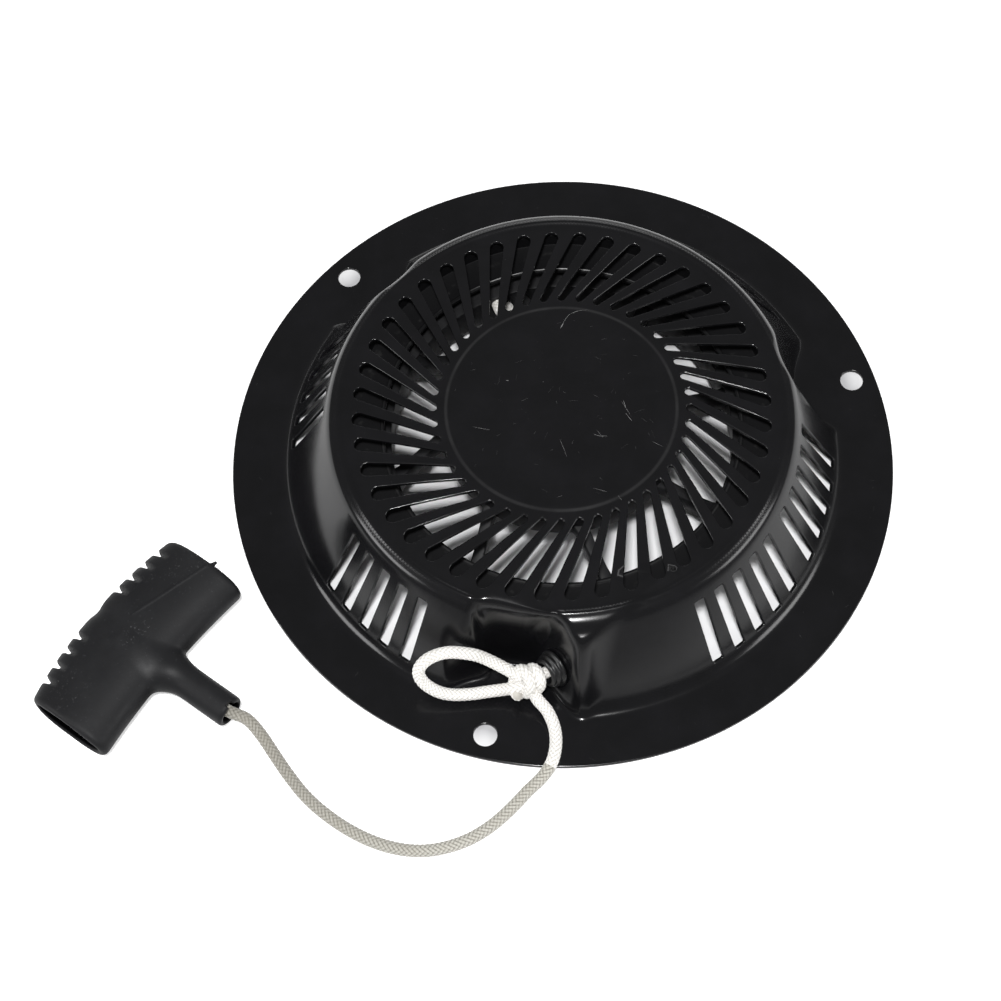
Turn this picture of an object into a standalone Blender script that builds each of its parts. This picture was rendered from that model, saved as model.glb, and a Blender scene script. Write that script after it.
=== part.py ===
"""Recoil starter for a small engine, modelled at real size, +Z up.

The pressed steel housing lies flange down on the ground plane.  The origin is
the centre of the bolt flange on its underside.  The rope leaves near -Y and
runs to a T handle on the -X side.  Every piece is its own named object.
Dimensions are in millimetres and degrees; add_object converts to metres.
"""
import math

import bmesh
import bpy
import numpy as np
from mathutils import Vector
from mathutils.geometry import delaunay_2d_cdt

MILLIMETRE = 0.001
SHARP_ANGLE = 35.0

# ---- housing
SHEET = 1.4                 # sheet thickness
FLANGE_RADIUS = 130.0
FLANGE_TOP = SHEET          # top face of the flange
FLAT_RADIUS = 121.0         # the flange is plain beyond this
WALL_RADIUS = 108.3         # foot of the conical wall
WALL_SLOPE = 1.894          # rise per unit of radius
WALL_BLEND = 3.0            # rounding between wall and grille
GROUND_BLEND = 6.5          # rounding between walls and flange
TOP_EDGE_Z = 39.0           # grille height near the rim
TOP_HUB_Z = 41.3            # grille height next to the centre disc
CROWN_START = 44.0          # the grille falls away from this radius
CROWN_SPAN = 40.0
DISC_RADIUS = 43.6          # plain centre disc
DISC_STEP = 0.45
DISC_STEP_WIDTH = 3.2
RIM_RADIUS = 85.2           # rolled bead round the grille
RIM_HEIGHT = 0.9
RIM_WIDTH = 1.4
RIM_FADE_Z = 30.0           # the bead fades in above this height
RIM_FADE_SPAN = 7.0

BOLT_COUNT = 3
BOLT_CIRCLE_RADIUS = 120.7
BOLT_FIRST_ANGLE = 12.6
BOLT_HOLE_RADIUS = 4.5
NOTCH_RADIUS = 24.0         # wrench clearance notch round each bolt hole
NOTCH_SLOPE = 4.7
NOTCH_BLEND = 11.0
NOTCH_BLEND_CUT = 5.0       # taken off the blend at the rope exit
NOTCH_BLEND_CUT_RADIUS = 13.0

SLOT_COUNT = 44             # slots in the grille
SLOT_FIRST_ANGLE = 7.3      # angle of the first slot's outer end
SLOT_OUTER_RADIUS = 77.3    # centres of the slot's round ends
SLOT_INNER_RADIUS = 48.8
SLOT_OUTER_WIDTH = 5.4
SLOT_INNER_WIDTH = 2.9
SLOT_SKEW = 13.4            # the inner end is turned this much from the outer end
SLOT_END_POINTS = 4

SIDE_GROUPS = (101.7, 163.0, 221.0, 311.2, 341.9, 43.2)   # centre angles of slot groups
SIDE_PER_GROUP = 5
SIDE_PITCH = 5.65
SIDE_OUTER_RADIUS = 106.6
SIDE_INNER_RADIUS = 91.9
SIDE_WIDTH = 4.7

# ---- rope exit: EXIT is where the end wall stands at EXIT_WALL_Z
EXIT = (-6.7, -93.6)
PULL = (-0.8415, -0.5403)   # unit vector along the pulled rope
EXIT_WALL_Z = 20.0
END_WALL_SLOPE = 4.0
EXIT_HOLE_Z = 13.0
EXIT_HOLE_RADIUS = 5.6
EXIT_HOLE_SQUASH = 0.2425   # foreshortening of the hole in plan
BOSS_TOP = 36.3
BOSS_MAX_Y = -70.0
BOSS_ABSENT_Z = -50.0
BOSS_SIDE_NORMAL = (0.566, -0.824)    # plan direction the +X face looks in
BOSS_SIDE_REACH = 80.2
BOSS_SIDE_SLOPE_DROP = 0.6  # the +X face is this much less steep than the end wall
BOSS_EDGE_BLEND = 6.0
BOSS_TOP_BLEND = 5.0
BOSS_FOOT_BLEND = 9.0
POCKET_BACK_RADIUS = 88.4
POCKET_BACK_SCALE = 2.2
POCKET_END_REACH = 4.65
POCKET_END_SCALE = 0.851
POCKET_SIDE_ANGLE = 249.5   # ray along the pocket's -X side
POCKET_SIDE_BLEND = 9.0
POCKET_NOTCH_BLEND = 5.0
POCKET_CORNER_BLEND = 4.0   # grows by CORNER_GROWTH as the pocket edge climbs
CORNER_GROWTH = 8.0
CORNER_GROWTH_START = 4.5
CORNER_GROWTH_SPAN = 4.0

# ---- bend radii: the blank is averaged over three rings of six samples
BEND_CENTRE_WEIGHT = 0.10
BEND_SAMPLES = ((0.058, 0.4), (0.052, 0.75), (0.04, 1.0))   # weight, share of the bend
WIDE_BEND_CENTRE = (-29.0, -87.0)
WIDE_BEND_RADIUS = 15.0
WIDE_BEND_EXTRA = 1.9
BOLT_BEND_RADIUS = 33.0
BOLT_BEND_EXTRA = 1.3
EXIT_BEND_RADIUS = 9.0
EXIT_BEND_CUT = 0.3

# ---- housing mesh points
MESH_RINGS = (              # radius, count, phase in steps
    (113.5, 84, 0), (110.0, 84, .5), (108.0, 84, 0), (89.5, 88, .5), (87.2, 88, 0),
    (85.6, 88, .5), (83.8, 88, 0), (82.0, 88, .5), (45.0, 44, .5), (43.6, 44, 0),
    (42.2, 44, .5))
NOTCH_ARC_RADII = (20.5, 24.0, 26.5, 29.0, 31.0)
EXIT_ARC_RADII = (83.9, 86.0, 88.6)
FINE_BAND = (90.5, 116)     # radii between which fine points are kept
FINE_SPACING = 1.7          # ring points closer than this to a fine point go
RINGS_KEPT_RADIUS = 82.5    # inside this all ring points stay
HOLE_MARGIN = 1.1

# ---- reel and rope
REEL_BORE_RADIUS = 11.1
HUB_RADIUS = 46.5
CAVITY_RADIUS = 44.0
LOWER_HUB_RADIUS = 31.0
RING_INNER_RADIUS = 66.0
GROOVE_RADIUS = 67.8
REEL_FLANGE_RADIUS = 79.0
REEL_CHAMFER = 0.6
SPOKE_COUNT = 8
SPOKE_FIRST_ANGLE = 5.0
SPOKE_LEAN = 7.0
SPOKE_HALF_WIDTH = 2.2
SPOKE_HUB_OVERLAP = 1.6
SPOKE_RING_OVERLAP = 0.9
SPOKE_HUB_Z = (27.6, 33.2)  # bottom and top of a spoke at each end
SPOKE_RING_Z = (8.6, 19.6)

ROPE_RADIUS = 2.35
COIL_INNER_RADIUS = 70.7
COIL_OUTER_RADIUS = 75.6
COIL_PITCH = 4.93
COIL_Z = 11.5               # height where the rope leaves the reel
COIL_STEP = 9.0
OUTER_LAYER_SWEEP = 430.0   # angle wound before the rope moves inwards
LAYER_CHANGE_SWEEP = 40.0
ANCHOR_ANGLE = 107.5        # where the rope ends inside the reel
ANCHOR_RADIUS = 60.4
ANCHOR_Z = 16.5
LEAD_GAP = 28.5             # keeps the lead clear of the turning coil

SPRING_TURNS = 6
SPRING_SEGMENTS = 22        # per turn
SPRING_START_RADIUS = 9.6
SPRING_END_RADIUS = 42.4
SPRING_HALF_THICKNESS = 0.35
SPRING_Z = (29.5, 35.8)

# ---- post, pawls and guide
POST_RADIUS = 8.5
PAWL_PIVOT_RADIUS = 25.0
PAWL_ANGLES = (35.0, 215.0)
PAWL_SWING = 38.0           # swing at full engagement
PAWL_EYE_RADIUS = 4.6
PAWL_PEG = (0.6, -12.5)     # peg centre in the pawl's frame
PAWL_Z = (11.0, 14.5)
PAWL_SPRING_Z = 13.2
# Pawl sides and nose (x, y): pivot at the origin, nose towards -Y at rest.
PAWL_NOSE = ((-4.4, -4.0), (-3.4, -12.0), (-2.0, -19.0), (0.6, -22.6), (4.6, -22.2),
             (4.4, -18.0), (4.9, -9.0))
PAWL_SPRING_LEG = ((-6.2, 1.0), (-7.0, -5.0), (-6.4, -12.0), (-4.6, -17.0))
GUIDE_RADIUS = 35.5
GUIDE_BORE_RADIUS = 9.1
GUIDE_Z = (8.5, 9.9)
GUIDE_TURN = 30.0           # guide turn that swings the pawls out fully
CAM_INTERVALS = 6
CAM_HALF_WIDTH = 2.0
FRICTION_RADIUS = 11.6      # wire ring of the friction spring
FRICTION_Z = 7.6

# ---- handle, in its own frame: along the serrated edge, depth from that edge
# towards the stem, and lift upwards.  GRIP_ORIGIN is the middle of the edge.
GRIP_ORIGIN = (-178.3, -63.7)
GRIP_ANGLE = 50.5
GRIP_Z = 9.6
GRIP_STATIONS = (-41.0, -39.6, -34.6, -31.2, -27.8, -24.4, -21.0, -17.6, -14.2, -10.8, -7.4,
                 -3.0, 1.4, 5.8, 9.4, 12.8, 16.2, 19.6, 23.0, 26.4, 29.8, 33.2, 36.6, 39.6, 41.0)
GRIP_SIDES = 16
GRIP_GROOVES = (-31.2, -24.4, -17.6, -10.8, 12.8, 19.6, 26.4, 33.2)
GROOVE_DEPTH = 2.1
GROOVE_WIDTH = 1.0
GRIP_END = 40.5             # stations beyond this are drawn in
GRIP_END_INSET = 1.2
GRIP_THICKEST = 0.62        # share of the depth where the tube is thickest
GRIP_TAPER = 0.40           # share of the depth over which it thins to the stem side
GRIP_HALF_THICKNESS = 9.2
GRIP_MIN_HALF = 3.6
STEM_END = 62.8

# ---- rope outside the housing: centreline points (x, y, z)
STOP_KNOT_CENTRE = (-19.6, -98.9, 11.8)
ROPE_TAIL = (
    (-16.0, -105.0, 8.6), (-12.4, -109.6, 7.0), (-10.2, -115.8, 5.2), (-10.2, -122.5, 4.6),
    (-12.2, -129.0, 4.3), (-16.2, -134.0, 3.0), (-21.5, -138.6, 2.6), (-27.5, -144.5, 2.6),
    (-34.8, -150.6, 2.6), (-43.0, -155.4, 2.6), (-52.0, -158.3, 2.6), (-61.0, -159.2, 2.6),
    (-70.0, -157.9, 2.6), (-79.0, -154.6, 2.6), (-88.0, -149.4, 2.6), (-96.4, -142.8, 2.7),
    (-103.6, -135.4, 2.8), (-109.6, -127.0, 3.0), (-114.8, -118.6, 3.6), (-119.4, -111.2, 5.0),
    (-124.4, -105.6, 7.6))
ROPE_LOOP = (
    (-27.0, -94.4, 14.0), (-34.1, -91.0, 16.4), (-39.5, -90.7, 21.0), (-47.7, -90.7, 24.0),
    (-54.1, -92.2, 24.0), (-58.0, -94.0, 21.6), (-59.3, -95.6, 17.6), (-57.7, -97.6, 13.0),
    (-53.2, -99.7, 9.2), (-47.7, -100.6, 7.0), (-40.5, -100.6, 6.4), (-34.2, -100.3, 7.0),
    (-28.2, -100.4, 8.4))


# ------------------------------------------------------------ scene and objects
def clear_scene():
    for ob in list(bpy.data.objects):
        bpy.data.objects.remove(ob, do_unlink=True)
    for mesh in list(bpy.data.meshes):
        bpy.data.meshes.remove(mesh)


def material(name, rgb, roughness, metallic):
    mat = bpy.data.materials.new(name)
    mat.use_nodes = True
    shader = mat.node_tree.nodes["Principled BSDF"]
    shader.inputs["Base Color"].default_value = (*rgb, 1.0)
    shader.inputs["Roughness"].default_value = roughness
    shader.inputs["Metallic"].default_value = metallic
    mat.diffuse_color = (*rgb, 1.0)
    return mat


def shade(mesh):
    for polygon in mesh.polygons:
        polygon.use_smooth = True
    mesh.set_sharp_from_angle(angle=math.radians(SHARP_ANGLE))


def add_object(name, geometry, mat, origin=(0, 0, 0)):
    """Object from (vertices, faces) in world millimetres; origin sets the pivot."""
    verts, faces = geometry
    mesh = bpy.data.meshes.new(name)
    pivot = Vector(origin)
    mesh.from_pydata([(Vector(vert) - pivot) * MILLIMETRE for vert in verts], [], faces)
    mesh.validate()
    bm = bmesh.new()
    bm.from_mesh(mesh)
    bmesh.ops.remove_doubles(bm, verts=bm.verts, dist=1e-6)
    bmesh.ops.recalc_face_normals(bm, faces=bm.faces)
    bm.to_mesh(mesh)
    bm.free()
    ob = bpy.data.objects.new(name, mesh)
    ob.location = pivot * MILLIMETRE
    bpy.context.scene.collection.objects.link(ob)
    mesh.materials.append(mat)
    shade(mesh)
    return ob


def boolean(ob, tools, operation):
    """Apply a boolean with each tool object in turn, then delete the tools."""
    for tool in tools:
        modifier = ob.modifiers.new("boolean", "BOOLEAN")
        modifier.operation = operation
        modifier.solver = "EXACT"
        modifier.object = tool
    bpy.context.view_layer.update()
    depsgraph = bpy.context.evaluated_depsgraph_get()
    result = bpy.data.meshes.new_from_object(ob.evaluated_get(depsgraph))
    ob.modifiers.clear()
    old = ob.data
    ob.data = result
    bpy.data.meshes.remove(old)
    for tool in tools:
        tool_mesh = tool.data
        bpy.data.objects.remove(tool, do_unlink=True)
        bpy.data.meshes.remove(tool_mesh)
    shade(result)


# ------------------------------------------------------------------ plan helpers
def rotate(x, y, degrees):
    angle = math.radians(degrees)
    return (x * math.cos(angle) - y * math.sin(angle),
            x * math.sin(angle) + y * math.cos(angle))


def polar(radius, degrees):
    return rotate(radius, 0, degrees)


def circle(x, y, radius, count, phase=0.0):
    """Points on a circle; phase is in steps."""
    angles = [2 * math.pi * (i + phase) / count for i in range(count)]
    return [(x + radius * math.cos(angle), y + radius * math.sin(angle)) for angle in angles]


def in_polygon(x, y, polygon):
    inside = False
    prev_x, prev_y = polygon[-1]
    for next_x, next_y in polygon:
        if ((next_y > y) != (prev_y > y)
                and x < (prev_x - next_x) * (y - next_y) / (prev_y - next_y) + next_x):
            inside = not inside
        prev_x, prev_y = next_x, next_y
    return inside


# --------------------------------------------- shapes, as (vertices, faces) pairs
def ring_profile(inner, outer, bottom, top):
    return [(inner, bottom), (outer, bottom), (outer, top), (inner, top)]


def rod_profile(radius, bottom, top):
    return ring_profile(0, radius, bottom, top)


def revolve_rings(profile, segments, centre, axis):
    """Copies of a (radius, height) profile, turned round the axis through centre."""
    axis = Vector(axis).normalized()
    reference = Vector((0, 0, 1)) if abs(axis.z) < 0.9 else Vector((1, 0, 0))
    side = reference.cross(axis).normalized()
    other = axis.cross(side).normalized()
    verts = []
    for i in range(segments):
        angle = 2 * math.pi * i / segments
        spoke = side * math.cos(angle) + other * math.sin(angle)
        verts += [Vector(centre) + spoke * radius + axis * height for radius, height in profile]
    return verts, axis


def lathe(profile, segments, centre=(0, 0, 0), axis=(0, 0, 1)):
    """Ring body from a closed (radius, height) profile."""
    verts, _ = revolve_rings(profile, segments, centre, axis)
    count = len(profile)
    faces = []
    for i in range(segments):
        here, there = i * count, (i + 1) % segments * count
        for k in range(count):
            after = (k + 1) % count
            faces.append((here + k, there + k, there + after, here + after))
    return verts, faces


def turned(profile, segments, centre=(0, 0, 0), axis=(0, 0, 1)):
    """Solid of revolution: the open profile starts and ends on the axis."""
    rings, axis = revolve_rings(profile[1:-1], segments, centre, axis)
    poles = [Vector(centre) + axis * profile[end][1] for end in (0, -1)]
    count = len(profile) - 2
    faces = []
    for i in range(segments):
        here, there = 2 + i * count, 2 + (i + 1) % segments * count
        faces.append((0, there, here))
        faces.append((1, here + count - 1, there + count - 1))
        for k in range(count - 1):
            faces.append((here + k, there + k, there + k + 1, here + k + 1))
    return poles + rings, faces


def loft_faces(ring_count, sides):
    """Skin over successive rings of vertices, capped at both ends."""
    faces = []
    for i in range(ring_count - 1):
        here, there = i * sides, (i + 1) * sides
        for k in range(sides):
            after = (k + 1) % sides
            faces.append((here + k, here + after, there + after, there + k))
    faces.append(tuple(range(sides - 1, -1, -1)))
    faces.append(tuple((ring_count - 1) * sides + k for k in range(sides)))
    return faces


def sweep(points, radius, sides):
    """Round rod along points; its section is carried along without twisting."""
    points = [Vector(point) for point in points]
    verts = []
    side = None
    for i, point in enumerate(points):
        tangent = (points[min(i + 1, len(points) - 1)] - points[max(i - 1, 0)]).normalized()
        if side is None:
            side = Vector((0, 0, 1)).cross(tangent).normalized()
        else:
            side = (side - tangent * side.dot(tangent)).normalized()
        other = tangent.cross(side)
        for k in range(sides):
            angle = 2 * math.pi * k / sides
            verts.append(point + (side * math.cos(angle) + other * math.sin(angle)) * radius)
    return verts, loft_faces(len(points), sides)


def spline(controls, steps):
    """Catmull-Rom points through controls."""
    controls = [Vector(control) for control in controls]
    first = controls[0] * 2 - controls[1]
    last = controls[-1] * 2 - controls[-2]
    padded = [first, *controls, last]
    points = []
    for before, start, end, after in zip(padded, padded[1:], padded[2:], padded[3:]):
        for k in range(steps):
            t = k / steps
            points.append(0.5 * ((2 * start) + (end - before) * t
                                 + (2 * before - 5 * start + 4 * end - after) * t * t
                                 + (3 * start - before - 3 * end + after) * t ** 3))
    return points + [controls[-1]]


def plate_mesh(outer, holes, free=()):
    """Triangulate outer less holes, using the free points; returns points, triangles."""
    points, edges = [], []
    for loop in (outer, *holes):
        base, count = len(points), len(loop)
        points += [Vector(point) for point in loop]
        edges += [(base + i, base + (i + 1) % count) for i in range(count)]
    points += [Vector(point) for point in free]
    verts, _, faces, *_ = delaunay_2d_cdt(points, edges, [], 0, 1e-5)
    triangles = []
    for face in faces:
        x = sum(verts[i].x for i in face) / 3
        y = sum(verts[i].y for i in face) / 3
        if in_polygon(x, y, outer) and not any(in_polygon(x, y, hole) for hole in holes):
            triangles.append(face)
    used = sorted({i for triangle in triangles for i in triangle})
    index = {old: new for new, old in enumerate(used)}
    return ([(verts[i].x, verts[i].y) for i in used],
            [tuple(index[i] for i in triangle) for triangle in triangles])


def thicken(top, bottom, triangles):
    """Closed solid from matching top and bottom point lists."""
    count = len(top)
    edges = dict.fromkeys(edge for a, b, c in triangles for edge in ((a, b), (b, c), (c, a)))
    faces = triangles + [(c + count, b + count, a + count) for a, b, c in triangles]
    faces += [(b, a, a + count, b + count) for a, b in edges if (b, a) not in edges]
    return top + bottom, faces


def prism(outer, holes, bottom, top):
    points, triangles = plate_mesh(outer, holes)
    return thicken([(x, y, top) for x, y in points], [(x, y, bottom) for x, y in points],
                   triangles)


# ------------------------------------------------------------- housing shape
def soft_min(first, second, blend):
    share = np.clip(0.5 + 0.5 * (second - first) / blend, 0.0, 1.0)
    return second + (first - second) * share - blend * share * (1.0 - share)


def soft_max(first, second, blend):
    return -soft_min(-first, -second, blend)


def falloff(x, y, centre, radius, power=2):
    """One at centre, fading to zero beyond radius."""
    return np.exp(-(np.hypot(x - centre[0], y - centre[1]) / radius) ** power)


def bolt_centres():
    return [polar(BOLT_CIRCLE_RADIUS, BOLT_FIRST_ANGLE + 360 / BOLT_COUNT * i)
            for i in range(BOLT_COUNT)]


def past_exit(x, y):
    """Distance beyond EXIT along the pull."""
    return (x - EXIT[0]) * PULL[0] + (y - EXIT[1]) * PULL[1]


def boss_height(x, y):
    """Boss over the rope exit: a soft pyramid with a cut-off top."""
    end_face = (EXIT_WALL_Z - BOSS_TOP) / END_WALL_SLOPE - past_exit(x, y)
    side_face = BOSS_SIDE_REACH - (BOSS_SIDE_NORMAL[0] * x + BOSS_SIDE_NORMAL[1] * y)
    side_share = np.clip(0.5 + 0.5 * (end_face - side_face) / BOSS_EDGE_BLEND, 0.0, 1.0)
    slope = END_WALL_SLOPE - BOSS_SIDE_SLOPE_DROP * side_share
    faces = BOSS_TOP + slope * soft_min(end_face, side_face, BOSS_EDGE_BLEND)
    return np.where(y < BOSS_MAX_Y, soft_min(BOSS_TOP, faces, BOSS_TOP_BLEND), BOSS_ABSENT_Z)


def dent_distance(x, y):
    """Plan distance, negative inside, to the wrench notches and the rope exit pocket."""
    notch = np.minimum.reduce([np.hypot(x - bolt_x, y - bolt_y) - NOTCH_RADIUS
                               for bolt_x, bolt_y in bolt_centres()])
    back = (POCKET_BACK_RADIUS - np.hypot(x, y)) * POCKET_BACK_SCALE
    end = POCKET_END_SCALE * (POCKET_END_REACH - past_exit(x, y))
    ray_x, ray_y = polar(1.0, POCKET_SIDE_ANGLE)
    side = x * ray_y - y * ray_x
    growth = np.clip((np.maximum(back, end) - CORNER_GROWTH_START) / CORNER_GROWTH_SPAN, 0.0, 1.0)
    corner_blend = POCKET_CORNER_BLEND + CORNER_GROWTH * growth
    pocket = soft_max(soft_max(back, end, corner_blend), side, POCKET_SIDE_BLEND)
    return soft_min(notch, pocket, POCKET_NOTCH_BLEND)


def housing_blank(x, y):
    """Skin height before the bend radii: cone, grille face, boss, notches and pocket."""
    radius = np.hypot(x, y)
    wall = FLANGE_TOP + WALL_SLOPE * (WALL_RADIUS - radius)
    crown = np.clip((radius - CROWN_START) / CROWN_SPAN, 0.0, 1.3)
    z = soft_min(wall, TOP_HUB_Z - (TOP_HUB_Z - TOP_EDGE_Z) * crown * crown, WALL_BLEND)
    z = soft_max(z, boss_height(x, y), BOSS_FOOT_BLEND)
    blend = NOTCH_BLEND - NOTCH_BLEND_CUT * falloff(x, y, EXIT, NOTCH_BLEND_CUT_RADIUS)
    z = soft_min(z, FLANGE_TOP + NOTCH_SLOPE * dent_distance(x, y), blend)
    return soft_max(z, FLANGE_TOP, GROUND_BLEND)


def bend_radius(x, y):
    bend = 1.0 + WIDE_BEND_EXTRA * falloff(x, y, WIDE_BEND_CENTRE, WIDE_BEND_RADIUS)
    for centre in bolt_centres():
        near_bolt = falloff(x, y, centre, BOLT_BEND_RADIUS, power=8)
        bend = np.maximum(bend, 1.0 + BOLT_BEND_EXTRA * near_bolt)
    return bend - EXIT_BEND_CUT * falloff(x, y, EXIT, EXIT_BEND_RADIUS)


def housing_height(x, y):
    """Height of the housing's outer skin above the ground."""
    radius = np.hypot(x, y)
    bend = bend_radius(x, y)
    z = BEND_CENTRE_WEIGHT * housing_blank(x, y)
    for k in range(18):
        angle = math.pi * k / 9.0
        weight, share = BEND_SAMPLES[k % 3]
        z = z + weight * housing_blank(x + bend * share * math.cos(angle),
                                       y + bend * share * math.sin(angle))
    step = np.clip((DISC_RADIUS + DISC_STEP_WIDTH / 2 - radius) / DISC_STEP_WIDTH, 0.0, 1.0)
    z = z + DISC_STEP * step * step * (3 - 2 * step)
    bead = RIM_HEIGHT * np.exp(-((radius - RIM_RADIUS) / RIM_WIDTH) ** 2)
    z = z + bead * np.clip((z - RIM_FADE_Z) / RIM_FADE_SPAN, 0.0, 1.0)
    return np.where(radius > FLAT_RADIUS, FLANGE_TOP, z)


def housing_normals(x, y):
    reach = 0.05
    slope_x = (housing_height(x + reach, y) - housing_height(x - reach, y)) / (2 * reach)
    slope_y = (housing_height(x, y + reach) - housing_height(x, y - reach)) / (2 * reach)
    normals = np.stack([-slope_x, -slope_y, np.ones_like(slope_x)], -1)
    return normals / np.linalg.norm(normals, axis=1)[:, None]


# ------------------------------------------------------------- housing holes
def top_slot(index):
    """Skewed, tapering grille slot with round ends."""
    angle = SLOT_FIRST_ANGLE + 360.0 / SLOT_COUNT * index
    outer = Vector(polar(SLOT_OUTER_RADIUS, angle))
    inner = Vector(polar(SLOT_INNER_RADIUS, angle + SLOT_SKEW))
    outward = (outer - inner).normalized()
    across = Vector((-outward.y, outward.x))
    outline = []
    for centre, reach in ((outer, SLOT_OUTER_WIDTH / 2), (inner, -SLOT_INNER_WIDTH / 2)):
        for k in range(SLOT_END_POINTS):
            turn = -math.pi / 2 + math.pi * k / (SLOT_END_POINTS - 1)
            point = centre + (outward * math.cos(turn) + across * math.sin(turn)) * reach
            outline.append(tuple(point))
    return outline


def side_slot(angle):
    """Rectangular slot, in plan, in the conical wall."""
    outward = Vector(polar(1.0, angle))
    across = Vector((-outward.y, outward.x))
    half = SIDE_WIDTH / 2
    corners = ring_profile(SIDE_INNER_RADIUS, SIDE_OUTER_RADIUS, -half, half)
    return [tuple(outward * radius + across * offset) for radius, offset in corners]


def exit_frame():
    """Centre of the rope hole in the sloping end wall, and the wall's normal."""
    pull = Vector((*PULL, 0))
    centre = Vector((*EXIT, 0)) + pull * ((EXIT_WALL_Z - EXIT_HOLE_Z) / END_WALL_SLOPE)
    centre.z = EXIT_HOLE_Z
    return centre, (pull * END_WALL_SLOPE + Vector((0, 0, 1))).normalized()


def exit_hole(count):
    """Outline, in plan, of the round hole in the sloping end wall."""
    centre = exit_frame()[0].xy
    pull = Vector(PULL)
    across = Vector((pull.y, -pull.x))
    outline = []
    for k in range(count):
        angle = 2 * math.pi * k / count
        outline.append(tuple(centre + across * (EXIT_HOLE_RADIUS * math.cos(angle))
                             - pull * (EXIT_HOLE_RADIUS * math.sin(angle) * EXIT_HOLE_SQUASH)))
    return outline


def housing_holes():
    holes = [top_slot(i) for i in range(SLOT_COUNT)]
    for group in SIDE_GROUPS:
        holes += [side_slot(group + SIDE_PITCH * (k - (SIDE_PER_GROUP - 1) / 2))
                  for k in range(SIDE_PER_GROUP)]
    holes += [circle(x, y, BOLT_HOLE_RADIUS, 16) for x, y in bolt_centres()]
    holes.append(exit_hole(14))
    return holes


# -------------------------------------------------------------- housing mesh
def distance_to_loops(points, loops):
    nearest = np.full(len(points), 1e9)
    for loop in loops:
        corners = np.asarray(loop)
        for start, end in zip(corners, np.roll(corners, -1, axis=0)):
            side = end - start
            offset = points - start
            share = np.clip(offset @ side / (side @ side), 0, 1)
            gap = offset - share[:, None] * side
            nearest = np.minimum(nearest, np.hypot(gap[:, 0], gap[:, 1]))
    return nearest


def ring_points():
    points = []
    for radius, count, phase in MESH_RINGS:
        points += circle(0, 0, radius, count, phase)
    points.append((0.0, 0.0))
    points += circle(0, 0, 22.0, 12)
    return np.array(points)


def fine_points():
    """Closer points round the first two notches and over the rope exit."""
    points = []
    for bolt_x, bolt_y in bolt_centres()[:2]:
        inward = math.atan2(bolt_y, bolt_x) + math.pi
        for radius in NOTCH_ARC_RADII:
            for k in range(-9, 10):
                angle = inward + math.radians(k * 9.0)
                points.append((bolt_x + radius * math.cos(angle),
                               bolt_y + radius * math.sin(angle)))
    for i in range(31):
        for j in range(13):
            points.append((-66.0 + i * 3.1 + (j % 2) * 1.5, -115.0 + j * 2.7))
    points = np.array(points)
    radii = np.hypot(points[:, 0], points[:, 1])
    arcs = [polar(radius, angle)
            for radius in EXIT_ARC_RADII for angle in np.arange(226.0, 272.0, 2.4)]
    return np.vstack([points[(radii > FINE_BAND[0]) & (radii < FINE_BAND[1])], arcs])


def free_points(holes):
    """Ring and fine points; rings give way to fine points, and all keep off the holes."""
    fine = fine_points()
    rings = ring_points()
    gaps = np.array([np.min(np.hypot(fine[:, 0] - x, fine[:, 1] - y)) for x, y in rings])
    radii = np.hypot(rings[:, 0], rings[:, 1])
    points = np.vstack([rings[(gaps > FINE_SPACING) | (radii < RINGS_KEPT_RADIUS)], fine])
    points = points[distance_to_loops(points, holes) > HOLE_MARGIN]
    return [(x, y) for x, y in points if not any(in_polygon(x, y, hole) for hole in holes)]


def build_housing(mat):
    holes = housing_holes()
    plan, triangles = plate_mesh(circle(0, 0, FLANGE_RADIUS, 96), holes, free_points(holes))
    plan = np.array(plan)
    x, y = plan[:, 0], plan[:, 1]
    top = np.column_stack([plan, housing_height(x, y)])
    bottom = top - housing_normals(x, y) * SHEET
    bottom[:, 2] = np.maximum(bottom[:, 2], 0.0)
    solid = thicken([tuple(point) for point in top], [tuple(point) for point in bottom],
                    triangles)
    add_object("housing", solid, mat)


# ------------------------------------------------- fixed pieces in the housing
def build_baffle_ring(mat):
    """Stiffening ring hung under the grille, just inside the rim."""
    profile = [(68.0, 28.2), (81.4, 28.2), (82.0, 28.8), (82.0, 35.6), (80.8, 35.6),
               (80.8, 29.4), (68.0, 29.4)]
    add_object("baffle_ring", lathe(profile, 60), mat)


def build_rope_bushing(mat):
    """Grommet in the end wall; heights run outwards along the wall's normal."""
    profile = [(3.6, -3.2), (4.6, -4.6), (6.2, -4.6), (6.6, -4.2), (6.6, -2.3), (5.25, -2.15),
               (5.25, 0.5), (6.8, 0.5), (6.8, 1.3), (6.2, 1.8), (5.6, 1.8), (5.6, 2.6),
               (6.0, 2.6), (6.0, 3.5), (5.4, 3.9), (4.5, 3.9), (3.6, 2.6)]
    centre, normal = exit_frame()
    add_object("rope_bushing", lathe(profile, 24, centre, normal), mat, centre)


def build_center_post(mat):
    """Post under the plain disc, with a blind bore from below."""
    profile = [(0, 39.9), (13.6, 39.9), (14.0, 39.5), (14.0, 38.0), (POST_RADIUS, 38.0),
               (POST_RADIUS, 6.9), (POST_RADIUS - 0.4, 6.6), (4.3, 6.6), (4.3, 26.0), (0, 26.0)]
    add_object("center_post", turned(profile, 36), mat)


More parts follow.
